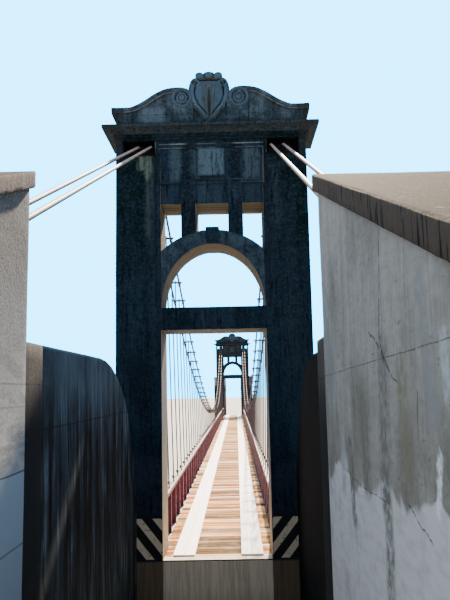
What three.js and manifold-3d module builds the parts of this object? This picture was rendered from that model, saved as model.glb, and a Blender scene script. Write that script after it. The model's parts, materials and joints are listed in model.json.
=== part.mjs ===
// A suspension footbridge: two masonry portals, four main cables, a planked deck between
// hung steel sides, and an anchor block with a wing wall on each side of both approaches.
// X runs across the bridge, Y along it, Z up; the origin is on the ground below midspan.

import * as THREE from 'three';
import { mergeVertices } from 'three/addons/utils/BufferGeometryUtils.js';
import Module from 'manifold-3d';

// Driving dimensions: real metres, drawn at 1:10 in millimetres.
const M = 100;
const GAP = 0.3;
const OVERLAP = 1;

const DECK_HEIGHT = 1.5 * M;
const BAY = 1.2 * M;
const POSTS_A_SIDE = 57;
const SPAN = BAY * POSTS_A_SIDE;

const TOWER_THICKNESS = 1.07 * M;
const TOWER_HALF_WIDTH = 2.0 * M;
const DOOR_HALF_WIDTH = 1.07 * M;
const DOOR_HEIGHT = 4.48 * M;
const SILL_TREAD = 0.27 * M;
const BEAM_TOP = 4.94 * M;
const ARCH_CROWN = 6.26 * M;
const ARCH_BACK_CROWN = 6.56 * M;
const ARCH_BACK_HALF_WIDTH = 1.56 * M;
const ARCH_RECESS = 0.04 * M;
const ARCH_STEPS = 20;
const KEY_HALF_WIDTH = 0.14 * M;
const KEY_TOP = 6.61 * M;
const KEY_TAPER = 0.8;
const WINDOW_TOP = 7.12 * M;
const MULLION_INNER = 0.335 * M;
const MULLION_OUTER = 0.642 * M;
const MULLION_FOOT_STEPS = 4;
const MULLION_CLEARANCE = 1.5 * GAP;
const PILASTER_INNER = 1.18 * M;
const STRIP_RECESS = 0.05 * M;
const HEAD_RECESS = 0.07 * M;
const LEDGE_SIDE = 7.54 * M;
const LEDGE_CENTRE = 7.61 * M;
const PLAQUE_HALF_WIDTH = 0.29 * M;
const PLAQUE_BOTTOM = 7.7 * M;
const PLAQUE_TOP = 8.33 * M;
const SLOT_BOTTOM = 8.16 * M;
const SLOT_TOP = 8.5 * M;
const SLOT_OUTER = 1.85 * M;
const BED_TOP = 8.55 * M;
const FILLET_TOP = 8.61 * M;
const FILLET_REACH = 0.06 * M;
const COVE_STEPS = 6;
const FASCIA_BOTTOM = 8.71 * M;
const CORNICE_TOP = 8.77 * M;
const CORNICE_REACH = 0.26 * M;

const PEDIMENT_HALF_WIDTH = 2.12 * M;
const PEDIMENT_FIELD_HALF_WIDTH = 2.0 * M;
const PEDIMENT_THICKNESS = 0.87 * M;
const PEDIMENT_CORNER = 9.29 * M;
const PEDIMENT_TOP = 9.715 * M;
const RISE_START = 1.78 * M;
const RISE_BEND = 1.5 * M;
const CREST_BEND = 1.22 * M;
const PEDIMENT_CURVE_STEPS = 9;
const BAND_HEIGHT = 0.12 * M;
const BAND_REACH = 0.06 * M;
const PEDESTAL_INNER = 0.36 * M;
const PEDESTAL_OUTER = 0.8 * M;
const VOLUTE_X = 0.605 * M;
const VOLUTE_Z = 9.475 * M;
const VOLUTE_RADIUS = 0.235 * M;
const VOLUTE_SIDES = 16;
const BOSS_RADIUS = 0.11 * M;
const BOSS_SIDES = 12;
const BOSS_REACH = 0.04 * M;
const CARTOUCHE_HALF_WIDTH = 0.42 * M;
const CARTOUCHE_BOTTOM = 8.85 * M;
const CARTOUCHE_TOP = 10.0 * M;
const CARTOUCHE_RELIEF = 0.1 * M;
const RELIEF_SHARE = 0.72;

const CABLE_RADIUS = 0.028 * M;
const CABLE_SIDES = 6;
const CABLE_SPACING = 0.26 * M;
const SADDLE_X = 1.4 * M;
const SADDLE_APEX = 8.46 * M;
const SADDLE_STEPS = 6;
const BACKSTAY_SLOPE = 0.445;
const MAIN_SLOPE = 0.3935;
const SOCKET_DEPTH = 0.3 * M;
const SOCKET_SIDES = 8;

const RAIL_HEIGHT = 0.95 * M;
const RAIL_DEPTH = 0.05 * M;
const RAIL_INNER = 1.16 * M;
const RAIL_OUTER = 1.3 * M;
const POST_INNER = 1.17 * M;
const POST_OUTER = 1.29 * M;
const POST_THICKNESS = 0.03 * M;
const GUSSET_REACH = 0.1 * M;
const GUSSET_HEIGHT = 0.2 * M;
const HANGER_X = 1.225 * M;
const HANGER_WIDTH = 0.026 * M;
const YOKE_OVERHANG = 0.07 * M;
const YOKE_HEIGHT = 0.05 * M;

const PLANK_HALF_WIDTH = 1.14 * M;
const PLANK_THICKNESS = 0.06 * M;
const TRACK_INNER = 0.46 * M;
const TRACK_OUTER = 0.9 * M;
const TRACK_THICKNESS = 0.03 * M;
const FRAME_DEPTH = 0.16 * M;
const FRAME_OUTER = 1.32 * M;
const EDGE_BEAM_WIDTH = 0.18 * M;
const CROSS_BEAM_WIDTH = 0.09 * M;

const ANCHOR_FACE = 8.8 * M;
const ANCHOR_LENGTH = 5.0 * M;
const ANCHOR_INNER = 1.05 * M;
const ANCHOR_OUTER = 2.6 * M;
const ANCHOR_TOPS = { '-1': 4.79 * M, 1: 4.715 * M };
const ANCHOR_SLOPE = 0.375;
const COPING_THICKNESS = 0.12 * M;
const COPING_REACH = 0.035 * M;
const TOE_LENGTH = 0.4 * M;
const TOE_TOP = 3.64 * M;
const WING_INNER = 1.575 * M;
const WING_THICKNESS = 0.35 * M;
const WING_TOP = 3.77 * M;
const WING_FALL = 3.6 * M;
const WING_END = 0.6 * M;
const WING_STEPS = 10;

const wasm = await Module();
wasm.setup();

const concrete = new THREE.MeshStandardMaterial({ color: 0x5b6068, roughness: 0.95, metalness: 0 });
const paleConcrete = new THREE.MeshStandardMaterial({ color: 0x9a9a96, roughness: 0.95, metalness: 0 });
const maroonSteel = new THREE.MeshStandardMaterial({ color: 0x5a1e2c, roughness: 0.55, metalness: 0.2 });
const cableSteel = new THREE.MeshStandardMaterial({ color: 0x8c8078, roughness: 0.6, metalness: 0.5 });
const saddleIron = new THREE.MeshStandardMaterial({ color: 0x3a3634, roughness: 0.7, metalness: 0.5 });
const planks = new THREE.MeshStandardMaterial({ color: 0xb59a7c, roughness: 0.85, metalness: 0 });
const trackBoards = new THREE.MeshStandardMaterial({ color: 0xd8cfc6, roughness: 0.8, metalness: 0 });

const bridge = new THREE.Group();

function addPiece(parent, name, geometry, material) {
  const mesh = new THREE.Mesh(geometry, material);
  mesh.name = name;
  parent.add(mesh);
}

// Outlines and solids.

function box(xRange, yRange, zRange) {
  const size = [xRange, yRange, zRange].map(([low, high]) => high - low);
  const geometry = new THREE.BoxGeometry(...size);
  geometry.translate((xRange[0] + xRange[1]) / 2, (yRange[0] + yRange[1]) / 2, (zRange[0] + zRange[1]) / 2);
  return geometry;
}

function extrude(shape, depth) {
  return new THREE.ExtrudeGeometry(shape, { depth, bevelEnabled: false, steps: 1, curveSegments: 8 });
}

function outline(points) {
  return new THREE.Shape(points.map(([a, b]) => new THREE.Vector2(a, b)));
}

// A front outline in X and Z, carried from one Y to another.
function frontPrism(points, yRange) {
  const geometry = extrude(outline(points), yRange[1] - yRange[0]);
  geometry.rotateX(Math.PI / 2);
  geometry.translate(0, yRange[1], 0);
  return geometry;
}

// A side outline in Y and Z, carried from one X to another.
function sidePrism(points, xRange) {
  const geometry = extrude(outline(points), xRange[1] - xRange[0]);
  geometry.applyMatrix4(new THREE.Matrix4().set(0, 0, 1, 0, 1, 0, 0, 0, 0, 1, 0, 0, 0, 0, 0, 1));
  geometry.translate(xRange[0], 0, 0);
  return geometry;
}

function toManifold(geometry) {
  const bare = geometry.clone();
  bare.deleteAttribute('normal');
  bare.deleteAttribute('uv');
  const merged = mergeVertices(bare, 1e-4);
  return new wasm.Manifold(new wasm.Mesh({
    numProp: 3,
    vertProperties: Float32Array.from(merged.attributes.position.array),
    triVerts: Uint32Array.from(merged.index.array),
  }));
}

function fromManifold(solid) {
  const mesh = solid.getMesh();
  const geometry = new THREE.BufferGeometry();
  geometry.setAttribute('position', new THREE.BufferAttribute(mesh.vertProperties, 3));
  geometry.setIndex(new THREE.BufferAttribute(mesh.triVerts, 1));
  geometry.computeVertexNormals();
  return geometry;
}

function fuse(geometries) {
  return fromManifold(geometries.map(toManifold).reduce((sum, next) => sum.add(next)));
}

function cut(geometry, tools) {
  return fromManifold(tools.map(toManifold).reduce((left, tool) => left.subtract(tool), toManifold(geometry)));
}

function mirrorPoints(points, side) {
  return points.map(([a, b]) => [side * a, b]);
}

function mirrorRange([low, high], side) {
  return side > 0 ? [low, high] : [-high, -low];
}

// Half an ellipse over the springing line, from left to right.
function archCurve(halfWidth, rise, fromX, toX) {
  const start = Math.acos(THREE.MathUtils.clamp(-fromX / halfWidth, -1, 1));
  const end = Math.acos(THREE.MathUtils.clamp(-toX / halfWidth, -1, 1));
  const points = [];
  for (let step = 0; step <= ARCH_STEPS; step += 1) {
    const angle = start + (end - start) * step / ARCH_STEPS;
    points.push([-halfWidth * Math.cos(angle), BEAM_TOP + rise * Math.sin(angle)]);
  }
  return points;
}

// Portal pieces, drawn with the outer face at y = 0 and the deck surface at z = 0.

function legPiece(side) {
  const inner = DOOR_HALF_WIDTH;
  const outer = TOWER_HALF_WIDTH;
  const lower = box(mirrorRange([inner, outer], side), [0, TOWER_THICKNESS], [-DECK_HEIGHT, BEAM_TOP]);
  const strip = box(
    mirrorRange([inner, outer - OVERLAP], side),
    [STRIP_RECESS, TOWER_THICKNESS - STRIP_RECESS],
    [BEAM_TOP - OVERLAP, SLOT_BOTTOM],
  );
  const pilaster = frontPrism(mirrorPoints([
    [PILASTER_INNER, BEAM_TOP - OVERLAP],
    [outer, BEAM_TOP - OVERLAP],
    [outer, SLOT_TOP],
    [SLOT_OUTER, SLOT_TOP],
    [SLOT_OUTER, SLOT_BOTTOM],
    [PILASTER_INNER, SLOT_BOTTOM],
  ], side), [0, TOWER_THICKNESS]);
  return fuse([lower, strip, pilaster]);
}

// The sill's tread shows at the outer face; behind it the sill drops to carry the planks.
function sillPiece() {
  const half = DOOR_HALF_WIDTH - GAP;
  const seat = -PLANK_THICKNESS - GAP;
  return sidePrism([
    [0, -DECK_HEIGHT],
    [TOWER_THICKNESS, -DECK_HEIGHT],
    [TOWER_THICKNESS, seat],
    [SILL_TREAD, seat],
    [SILL_TREAD, 0],
    [0, 0],
  ], [-half, half]);
}

function archPiece() {
  const half = DOOR_HALF_WIDTH - GAP;
  const rise = ARCH_CROWN - BEAM_TOP;
  const backRise = ARCH_BACK_CROWN - BEAM_TOP;
  const intrados = archCurve(DOOR_HALF_WIDTH, rise, -half, half);
  const extrados = archCurve(ARCH_BACK_HALF_WIDTH, backRise, -half, half).reverse();
  const ring = frontPrism(
    [[-half, BEAM_TOP + GAP], ...intrados.slice(1, -1), [half, BEAM_TOP + GAP], ...extrados],
    [ARCH_RECESS, TOWER_THICKNESS - ARCH_RECESS],
  );
  const key = frontPrism([
    [-KEY_HALF_WIDTH * KEY_TAPER, ARCH_CROWN + OVERLAP],
    [KEY_HALF_WIDTH * KEY_TAPER, ARCH_CROWN + OVERLAP],
    [KEY_HALF_WIDTH, KEY_TOP],
    [-KEY_HALF_WIDTH, KEY_TOP],
  ], [0, TOWER_THICKNESS]);
  return fuse([ring, key]);
}

function archBackHeight(x) {
  const backRise = ARCH_BACK_CROWN - BEAM_TOP;
  return BEAM_TOP + backRise * Math.sqrt(1 - (x / ARCH_BACK_HALF_WIDTH) ** 2);
}

// The wall over the three windows, with the two mullions that carry it down to the arch.
function windowHeadPiece() {
  const half = DOOR_HALF_WIDTH - GAP;
  const wall = frontPrism([
    [-half, WINDOW_TOP],
    [half, WINDOW_TOP],
    [half, SLOT_TOP],
    [-half, SLOT_TOP],
  ], [HEAD_RECESS, TOWER_THICKNESS - HEAD_RECESS]);
  const frieze = frontPrism([
    [-half, LEDGE_SIDE],
    [-MULLION_OUTER, LEDGE_SIDE],
    [-MULLION_OUTER, LEDGE_CENTRE],
    [MULLION_OUTER, LEDGE_CENTRE],
    [MULLION_OUTER, LEDGE_SIDE],
    [half, LEDGE_SIDE],
    [half, SLOT_TOP],
    [-half, SLOT_TOP],
  ], [STRIP_RECESS, TOWER_THICKNESS - STRIP_RECESS]);
  const shoulder = frontPrism([
    [-PILASTER_INNER, SLOT_BOTTOM + GAP],
    [PILASTER_INNER, SLOT_BOTTOM + GAP],
    [PILASTER_INNER, SLOT_TOP],
    [-PILASTER_INNER, SLOT_TOP],
  ], [STRIP_RECESS, TOWER_THICKNESS - STRIP_RECESS]);
  const plaque = frontPrism([
    [-PLAQUE_HALF_WIDTH, PLAQUE_BOTTOM],
    [PLAQUE_HALF_WIDTH, PLAQUE_BOTTOM],
    [PLAQUE_HALF_WIDTH, PLAQUE_TOP],
    [-PLAQUE_HALF_WIDTH, PLAQUE_TOP],
  ], [STRIP_RECESS / 2, TOWER_THICKNESS - STRIP_RECESS / 2]);
  const foot = [];
  for (let step = 0; step <= MULLION_FOOT_STEPS; step += 1) {
    const x = MULLION_INNER + (MULLION_OUTER - MULLION_INNER) * step / MULLION_FOOT_STEPS;
    foot.push([x, archBackHeight(x) + MULLION_CLEARANCE]);
  }
  const mullions = [-1, 1].map((side) => frontPrism(mirrorPoints([
    ...foot,
    [MULLION_OUTER, LEDGE_CENTRE + OVERLAP],
    [MULLION_INNER, LEDGE_CENTRE + OVERLAP],
  ], side), [0, TOWER_THICKNESS]));
  return fuse([wall, frieze, shoulder, plaque, ...mullions]);
}

// A stack of rectangles: each level is its height and how far it stands out past the portal.
function mouldedStack(levels) {
  const positions = [];
  const indices = [];
  levels.forEach(([z, reach]) => {
    const x = TOWER_HALF_WIDTH + reach;
    positions.push(-x, -reach, z, x, -reach, z);
    positions.push(x, TOWER_THICKNESS + reach, z, -x, TOWER_THICKNESS + reach, z);
  });
  for (let level = 0; level < levels.length - 1; level += 1) {
    for (let corner = 0; corner < 4; corner += 1) {
      const next = (corner + 1) % 4;
      const a = level * 4 + corner;
      const b = level * 4 + next;
      indices.push(a, b, b + 4, a, b + 4, a + 4);
    }
  }
  const top = (levels.length - 1) * 4;
  indices.push(0, 2, 1, 0, 3, 2);
  indices.push(top, top + 1, top + 2, top, top + 2, top + 3);
  const geometry = new THREE.BufferGeometry();
  geometry.setAttribute('position', new THREE.BufferAttribute(new Float32Array(positions), 3));
  geometry.setIndex(indices);
  geometry.computeVertexNormals();
  return geometry;
}

function cornicePiece() {
  const levels = [
    [SLOT_TOP + GAP, 0],
    [BED_TOP, 0],
    [BED_TOP, FILLET_REACH],
    [FILLET_TOP, FILLET_REACH],
  ];
  for (let step = 1; step < COVE_STEPS; step += 1) {
    const angle = (Math.PI / 2) * step / COVE_STEPS;
    levels.push([
      FILLET_TOP + (FASCIA_BOTTOM - FILLET_TOP) * Math.sin(angle),
      FILLET_REACH + (CORNICE_REACH - FILLET_REACH) * (1 - Math.cos(angle)),
    ]);
  }
  levels.push([FASCIA_BOTTOM, CORNICE_REACH]);
  levels.push([CORNICE_TOP, CORNICE_REACH]);
  return mouldedStack(levels);
}

// How deep a piece of that thickness lies when it is centred in the portal.
function centredDepth(thickness) {
  return [(TOWER_THICKNESS - thickness) / 2, (TOWER_THICKNESS + thickness) / 2];
}

// The top line of the broken pediment: level from its outer corner, then rising to the volute.
function pedimentTopLine() {
  const curve = new THREE.CubicBezierCurve(
    new THREE.Vector2(RISE_START, PEDIMENT_CORNER),
    new THREE.Vector2(RISE_BEND, PEDIMENT_CORNER),
    new THREE.Vector2(CREST_BEND, PEDIMENT_TOP),
    new THREE.Vector2(VOLUTE_X + BOSS_RADIUS, PEDIMENT_TOP),
  );
  const risen = curve.getPoints(PEDIMENT_CURVE_STEPS).map((point) => [point.x, point.y]);
  return [[PEDIMENT_HALF_WIDTH, PEDIMENT_CORNER], ...risen];
}

function volutePoints(radius, sides) {
  const points = [];
  for (let side = 0; side < sides; side += 1) {
    const angle = 2 * Math.PI * side / sides;
    points.push([VOLUTE_X + radius * Math.cos(angle), VOLUTE_Z + radius * Math.sin(angle)]);
  }
  return points;
}

function pedimentPiece() {
  const base = CORNICE_TOP + GAP;
  const bandDepth = centredDepth(PEDIMENT_THICKNESS);
  const fieldDepth = centredDepth(PEDIMENT_THICKNESS - 2 * BAND_REACH);
  const topLine = pedimentTopLine();
  const bandBottom = topLine.map(([x, z]) => [x, z - BAND_HEIGHT]).reverse();
  const fieldTop = topLine.map(([x, z]) => [Math.min(x, PEDIMENT_FIELD_HALF_WIDTH), z - OVERLAP]);
  const pieces = [];
  [-1, 1].forEach((side) => {
    pieces.push(frontPrism(mirrorPoints([
      [-OVERLAP, base],
      [PEDIMENT_FIELD_HALF_WIDTH, base],
      ...fieldTop,
      [VOLUTE_X, VOLUTE_Z],
      [-OVERLAP, VOLUTE_Z],
    ], side), fieldDepth));
    pieces.push(frontPrism(mirrorPoints([...topLine, ...bandBottom], side), bandDepth));
    pieces.push(box(mirrorRange([PEDESTAL_INNER, PEDESTAL_OUTER], side), bandDepth, [base, VOLUTE_Z]));
    pieces.push(frontPrism(mirrorPoints(volutePoints(VOLUTE_RADIUS, VOLUTE_SIDES), side), bandDepth));
    pieces.push(frontPrism(
      mirrorPoints(volutePoints(BOSS_RADIUS, BOSS_SIDES), side),
      centredDepth(PEDIMENT_THICKNESS + 2 * BOSS_REACH),
    ));
  });
  return fuse(pieces);
}

// Half of the cartouche's outline from its foot to its crest, as shares of its half width and
// of its height: leafy side, shoulder, and one and a half of the three lobes.
const CARTOUCHE_OUTLINE = [
  [0.12, 0],
  [0.62, 0.27],
  [1, 0.49],
  [1, 0.73],
  [0.76, 0.88],
  [0.63, 0.94],
  [0.43, 1],
  [0.21, 0.96],
  [0.1, 1],
];

function cartoucheOutline(share, growth) {
  const height = CARTOUCHE_TOP - CARTOUCHE_BOTTOM;
  const middle = CARTOUCHE_BOTTOM + height / 2;
  const half = CARTOUCHE_OUTLINE.map(([x, z]) => [
    x * CARTOUCHE_HALF_WIDTH * share + growth,
    middle + (z - 0.5) * height * share,
  ]);
  return [...half, ...mirrorPoints(half, -1).reverse()];
}

// The shell cartouche between the volutes goes through the pediment, with a relief on both faces.
function cartouchePiece() {
  return fuse([
    frontPrism(cartoucheOutline(1, 0), centredDepth(PEDIMENT_THICKNESS + CARTOUCHE_RELIEF)),
    frontPrism(cartoucheOutline(RELIEF_SHARE, 0), centredDepth(PEDIMENT_THICKNESS + 2 * CARTOUCHE_RELIEF)),
  ]);
}

function cartouchePocket() {
  const pocket = frontPrism(
    cartoucheOutline(1, GAP),
    centredDepth(PEDIMENT_THICKNESS + 2 * BOSS_REACH + 2 * OVERLAP),
  );
  pocket.translate(0, 0, -GAP);
  return pocket;
}

function towerGroup(prefix, sideNames) {
  const group = new THREE.Group();
  const half = DOOR_HALF_WIDTH - GAP;
  [-1, 1].forEach((side) => {
    addPiece(group, `${prefix}_${sideNames[side]}_leg`, legPiece(side), concrete);
    addPiece(group, `${prefix}_${sideNames[side]}_saddle`, saddlePiece(side), saddleIron);
  });
  addPiece(group, `${prefix}_sill`, sillPiece(), concrete);
  addPiece(
    group,
    `${prefix}_beam`,
    box([-half, half], [0, TOWER_THICKNESS], [DOOR_HEIGHT, BEAM_TOP]),
    concrete,
  );
  addPiece(group, `${prefix}_arch`, archPiece(), concrete);
  addPiece(group, `${prefix}_window_head`, windowHeadPiece(), concrete);
  addPiece(group, `${prefix}_cornice`, cornicePiece(), concrete);
  addPiece(group, `${prefix}_pediment`, cut(pedimentPiece(), [cartouchePocket()]), concrete);
  addPiece(group, `${prefix}_cartouche`, cartouchePiece(), concrete);
  group.position.set(0, -(SPAN / 2 + TOWER_THICKNESS), DECK_HEIGHT);
  return group;
}

// The cable's arc over a saddle meets the backstay and the main span without a kink.
const BACKSTAY_ANGLE = Math.atan(BACKSTAY_SLOPE);
const MAIN_ANGLE = Math.atan(MAIN_SLOPE);
const SADDLE_RADIUS = TOWER_THICKNESS / (Math.sin(BACKSTAY_ANGLE) + Math.sin(MAIN_ANGLE));
const SADDLE_CENTRE_Y = SADDLE_RADIUS * Math.sin(BACKSTAY_ANGLE);

function saddleArc(radius) {
  const points = [];
  for (let step = 0; step <= SADDLE_STEPS; step += 1) {
    const angle = -BACKSTAY_ANGLE + (BACKSTAY_ANGLE + MAIN_ANGLE) * step / SADDLE_STEPS;
    points.push([
      SADDLE_CENTRE_Y + radius * Math.sin(angle),
      SADDLE_APEX - SADDLE_RADIUS + radius * Math.cos(angle),
    ]);
  }
  return points;
}

function saddlePiece(side) {
  const seat = SLOT_BOTTOM + GAP;
  const top = saddleArc(SADDLE_RADIUS - CABLE_RADIUS - GAP).filter(([, z]) => z > seat + OVERLAP);
  const first = top[0];
  const last = top[top.length - 1];
  const width = CABLE_SPACING / 2 + CABLE_RADIUS * 2;
  return sidePrism(
    [[first[0], seat], [last[0], seat], ...top.reverse()],
    mirrorRange([SADDLE_X - width, SADDLE_X + width], side),
  );
}

// Cable heights are measured from the deck surface and lengths from midspan.
const SADDLE_INNER_Z = SADDLE_APEX - SADDLE_RADIUS * (1 - Math.cos(MAIN_ANGLE));
const SADDLE_OUTER_Z = SADDLE_APEX - SADDLE_RADIUS * (1 - Math.cos(BACKSTAY_ANGLE));
const CABLE_LOW_Z = SADDLE_INNER_Z - MAIN_SLOPE * SPAN / 4;
const CABLE_LEAN = (SADDLE_X - HANGER_X) / (SADDLE_INNER_Z - RAIL_HEIGHT);

function cableHeight(y) {
  return CABLE_LOW_Z + (SADDLE_INNER_Z - CABLE_LOW_Z) * (y / (SPAN / 2)) ** 2;
}

function cableCentreX(z) {
  return HANGER_X + (z - RAIL_HEIGHT) * CABLE_LEAN;
}

class StationPath extends THREE.Curve {
  constructor(stations) {
    super();
    this.stations = stations;
  }

  getPoint(t, target = new THREE.Vector3()) {
    const place = THREE.MathUtils.clamp(t, 0, 1) * (this.stations.length - 1);
    const index = Math.min(Math.floor(place), this.stations.length - 2);
    return target.lerpVectors(this.stations[index], this.stations[index + 1], place - index);
  }

  getUtoTmapping(u) {
    return u;
  }
}

function sweep(stations, radius, sides) {
  const ring = [];
  for (let side = 0; side < sides; side += 1) {
    const angle = (2 * Math.PI * (side + 0.5)) / sides;
    ring.push([radius * Math.cos(angle), radius * Math.sin(angle)]);
  }
  return new THREE.ExtrudeGeometry(outline(ring), {
    steps: stations.length - 1,
    bevelEnabled: false,
    extrudePath: new StationPath(stations),
  });
}

// Half a main cable, from its anchor to midspan, at one sideways offset from the hanger line.
function cableStations(side, offset) {
  const towerFace = SPAN / 2 + TOWER_THICKNESS;
  const place = (y, z) => new THREE.Vector3(
    side * (cableCentreX(Math.min(z, SADDLE_INNER_Z)) + offset),
    y,
    DECK_HEIGHT + z,
  );
  const anchorRun = ANCHOR_FACE + SOCKET_DEPTH;
  const half = [new THREE.Vector3(
    side * (SADDLE_X + offset),
    -(towerFace + anchorRun),
    DECK_HEIGHT + SADDLE_OUTER_Z - anchorRun * BACKSTAY_SLOPE,
  )];
  saddleArc(SADDLE_RADIUS).forEach(([y, z]) => {
    half.push(new THREE.Vector3(side * (SADDLE_X + offset), y - towerFace, DECK_HEIGHT + z));
  });
  for (let post = 1; post < (POSTS_A_SIDE - 1) / 2; post += 2) {
    const y = -SPAN / 2 + BAY * (post + 0.5);
    half.push(place(y, cableHeight(y)));
  }
  const middle = [place(0, cableHeight(0))];
  const other = half.map((point) => new THREE.Vector3(point.x, -point.y, point.z)).reverse();
  return [...half, ...middle, ...other];
}

function cablePiece(side, offset) {
  return sweep(cableStations(side, offset), CABLE_RADIUS, CABLE_SIDES);
}

// The height of the made cable at y: it is straight between its stations.
function madeCableHeight(y, stations) {
  const index = stations.findIndex((point, at) => at > 0 && point.y >= y);
  const [before, after] = [stations[index - 1], stations[index]];
  const share = (y - before.y) / (after.y - before.y);
  return before.z + (after.z - before.z) * share - DECK_HEIGHT;
}

// One hanger with its post, gusset and yoke is a flat plate across the bridge.
function hangerPlate(side, y, stations) {
  const cableZ = madeCableHeight(y, stations);
  const slope = Math.abs(cableHeight(y + 1) - cableHeight(y - 1)) / 2;
  const clear = CABLE_RADIUS * Math.sqrt(1 + slope * slope) + slope * POST_THICKNESS / 2 + GAP;
  const yokeZ = cableZ + clear;
  const topX = cableCentreX(cableZ);
  const halfHanger = HANGER_WIDTH / 2;
  const yokeHalf = CABLE_SPACING / 2 + YOKE_OVERHANG;
  const foot = GAP - PLANK_THICKNESS;
  const points = [
    [topX - yokeHalf, yokeZ + YOKE_HEIGHT],
    [topX - yokeHalf, yokeZ],
    [topX - halfHanger, yokeZ],
    [HANGER_X - halfHanger, RAIL_HEIGHT],
    [POST_INNER, RAIL_HEIGHT - RAIL_DEPTH / 2],
    [POST_INNER, foot],
    [POST_OUTER, foot],
    [POST_OUTER, RAIL_HEIGHT - GUSSET_HEIGHT],
    [POST_OUTER + GUSSET_REACH, RAIL_HEIGHT + GAP],
    [HANGER_X + halfHanger, RAIL_HEIGHT + 2 * GAP],
    [topX + halfHanger, yokeZ],
    [topX + yokeHalf, yokeZ],
    [topX + yokeHalf, yokeZ + YOKE_HEIGHT],
  ];
  return frontPrism(mirrorPoints(points, side), [y - POST_THICKNESS / 2, y + POST_THICKNESS / 2]);
}

function sidePanel(side, firstPost, lastPost) {
  const stations = cableStations(side, 0);
  const plates = [];
  for (let post = firstPost; post <= lastPost; post += 1) {
    plates.push(hangerPlate(side, BAY * (post - (POSTS_A_SIDE - 1) / 2), stations));
  }
  const railStart = BAY * (firstPost - POSTS_A_SIDE / 2) + GAP;
  const railEnd = BAY * (lastPost + 1 - POSTS_A_SIDE / 2) - GAP;
  const rail = box(
    mirrorRange([RAIL_INNER, RAIL_OUTER], side),
    [railStart, railEnd],
    [RAIL_HEIGHT - RAIL_DEPTH, RAIL_HEIGHT],
  );
  return fuse([rail, ...plates]);
}

// The deck.

function deckFramePiece() {
  const half = SPAN / 2 - GAP;
  const shape = outline([[-FRAME_OUTER, -half], [FRAME_OUTER, -half], [FRAME_OUTER, half], [-FRAME_OUTER, half]]);
  const holeX = FRAME_OUTER - EDGE_BEAM_WIDTH;
  for (let gap = 0; gap <= POSTS_A_SIDE; gap += 1) {
    const low = gap === 0 ? -half + CROSS_BEAM_WIDTH : BAY * (gap - POSTS_A_SIDE / 2 - 0.5) + CROSS_BEAM_WIDTH / 2;
    const high = gap === POSTS_A_SIDE
      ? half - CROSS_BEAM_WIDTH
      : BAY * (gap - POSTS_A_SIDE / 2 + 0.5) - CROSS_BEAM_WIDTH / 2;
    shape.holes.push(new THREE.Path([
      new THREE.Vector2(-holeX, low),
      new THREE.Vector2(-holeX, high),
      new THREE.Vector2(holeX, high),
      new THREE.Vector2(holeX, low),
    ]));
  }
  const geometry = extrude(shape, FRAME_DEPTH);
  geometry.translate(0, 0, DECK_HEIGHT - PLANK_THICKNESS - GAP - FRAME_DEPTH);
  return geometry;
}

// The boards run on through both doorways to the sills' treads, the planks a little narrower there.
const BETWEEN_PORTALS = SPAN / 2 - GAP;
const BETWEEN_TREADS = SPAN / 2 + TOWER_THICKNESS - SILL_TREAD - GAP;

function deckStrip(xRange, half, bottom, thickness) {
  return box(xRange, [-half, half], [DECK_HEIGHT + bottom, DECK_HEIGHT + bottom + thickness]);
}

function planksPiece() {
  const doorHalf = DOOR_HALF_WIDTH - GAP;
  return fuse([
    deckStrip([-PLANK_HALF_WIDTH, PLANK_HALF_WIDTH], BETWEEN_PORTALS, -PLANK_THICKNESS, PLANK_THICKNESS),
    deckStrip([-doorHalf, doorHalf], BETWEEN_TREADS, -PLANK_THICKNESS, PLANK_THICKNESS),
  ]);
}

// Anchor block and wing wall, drawn for the near approach.

function anchorPiece(side) {
  const face = -(SPAN / 2 + TOWER_THICKNESS + ANCHOR_FACE);
  const back = face - ANCHOR_LENGTH;
  const top = DECK_HEIGHT + ANCHOR_TOPS[side];
  const fall = ANCHOR_LENGTH * ANCHOR_SLOPE;
  const block = sidePrism([
    [back, 0],
    [face + TOE_LENGTH, 0],
    [face + TOE_LENGTH, DECK_HEIGHT + TOE_TOP],
    [face, DECK_HEIGHT + TOE_TOP],
    [face, top],
    [back, top - fall],
  ], mirrorRange([ANCHOR_INNER, ANCHOR_OUTER], side));
  const coping = sidePrism([
    [back - COPING_REACH, top - fall - COPING_REACH * ANCHOR_SLOPE - OVERLAP],
    [face + COPING_REACH, top + COPING_REACH * ANCHOR_SLOPE - OVERLAP],
    [face + COPING_REACH, top + COPING_THICKNESS],
    [back - COPING_REACH, top - fall + COPING_THICKNESS],
  ], mirrorRange([ANCHOR_INNER - COPING_REACH, ANCHOR_OUTER + COPING_REACH], side));
  const sockets = [-1, 1].map((at) => {
    const ends = cableStations(side, at * CABLE_SPACING / 2);
    const run = new THREE.Vector3().subVectors(ends[0], ends[1]).normalize();
    const bottom = ends[0].clone().addScaledVector(run, GAP);
    const mouth = ends[0].clone().addScaledVector(run, -2 * SOCKET_DEPTH);
    return sweep([mouth, bottom], CABLE_RADIUS + GAP, SOCKET_SIDES);
  });
  return cut(fuse([block, coping]), sockets);
}

function wingWallPiece(side) {
  const towerFace = -(SPAN / 2 + TOWER_THICKNESS);
  const start = towerFace - ANCHOR_FACE + TOE_LENGTH + GAP;
  const end = towerFace - GAP;
  const points = [[end, 0], [start, 0], [start, DECK_HEIGHT + WING_TOP]];
  const drop = WING_TOP - WING_END;
  for (let step = 0; step <= WING_STEPS; step += 1) {
    const angle = (Math.PI / 2) * step / WING_STEPS;
    points.push([
      end - WING_FALL + WING_FALL * Math.sin(angle),
      DECK_HEIGHT + WING_END + drop * Math.cos(angle),
    ]);
  }
  return sidePrism(points, mirrorRange([WING_INNER, WING_INNER + WING_THICKNESS], side));
}

// Assembly. The far portal and its approach are the near ones turned half round.

const nearSides = { '-1': 'left', 1: 'right' };
const farSides = { '-1': 'right', 1: 'left' };

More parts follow.
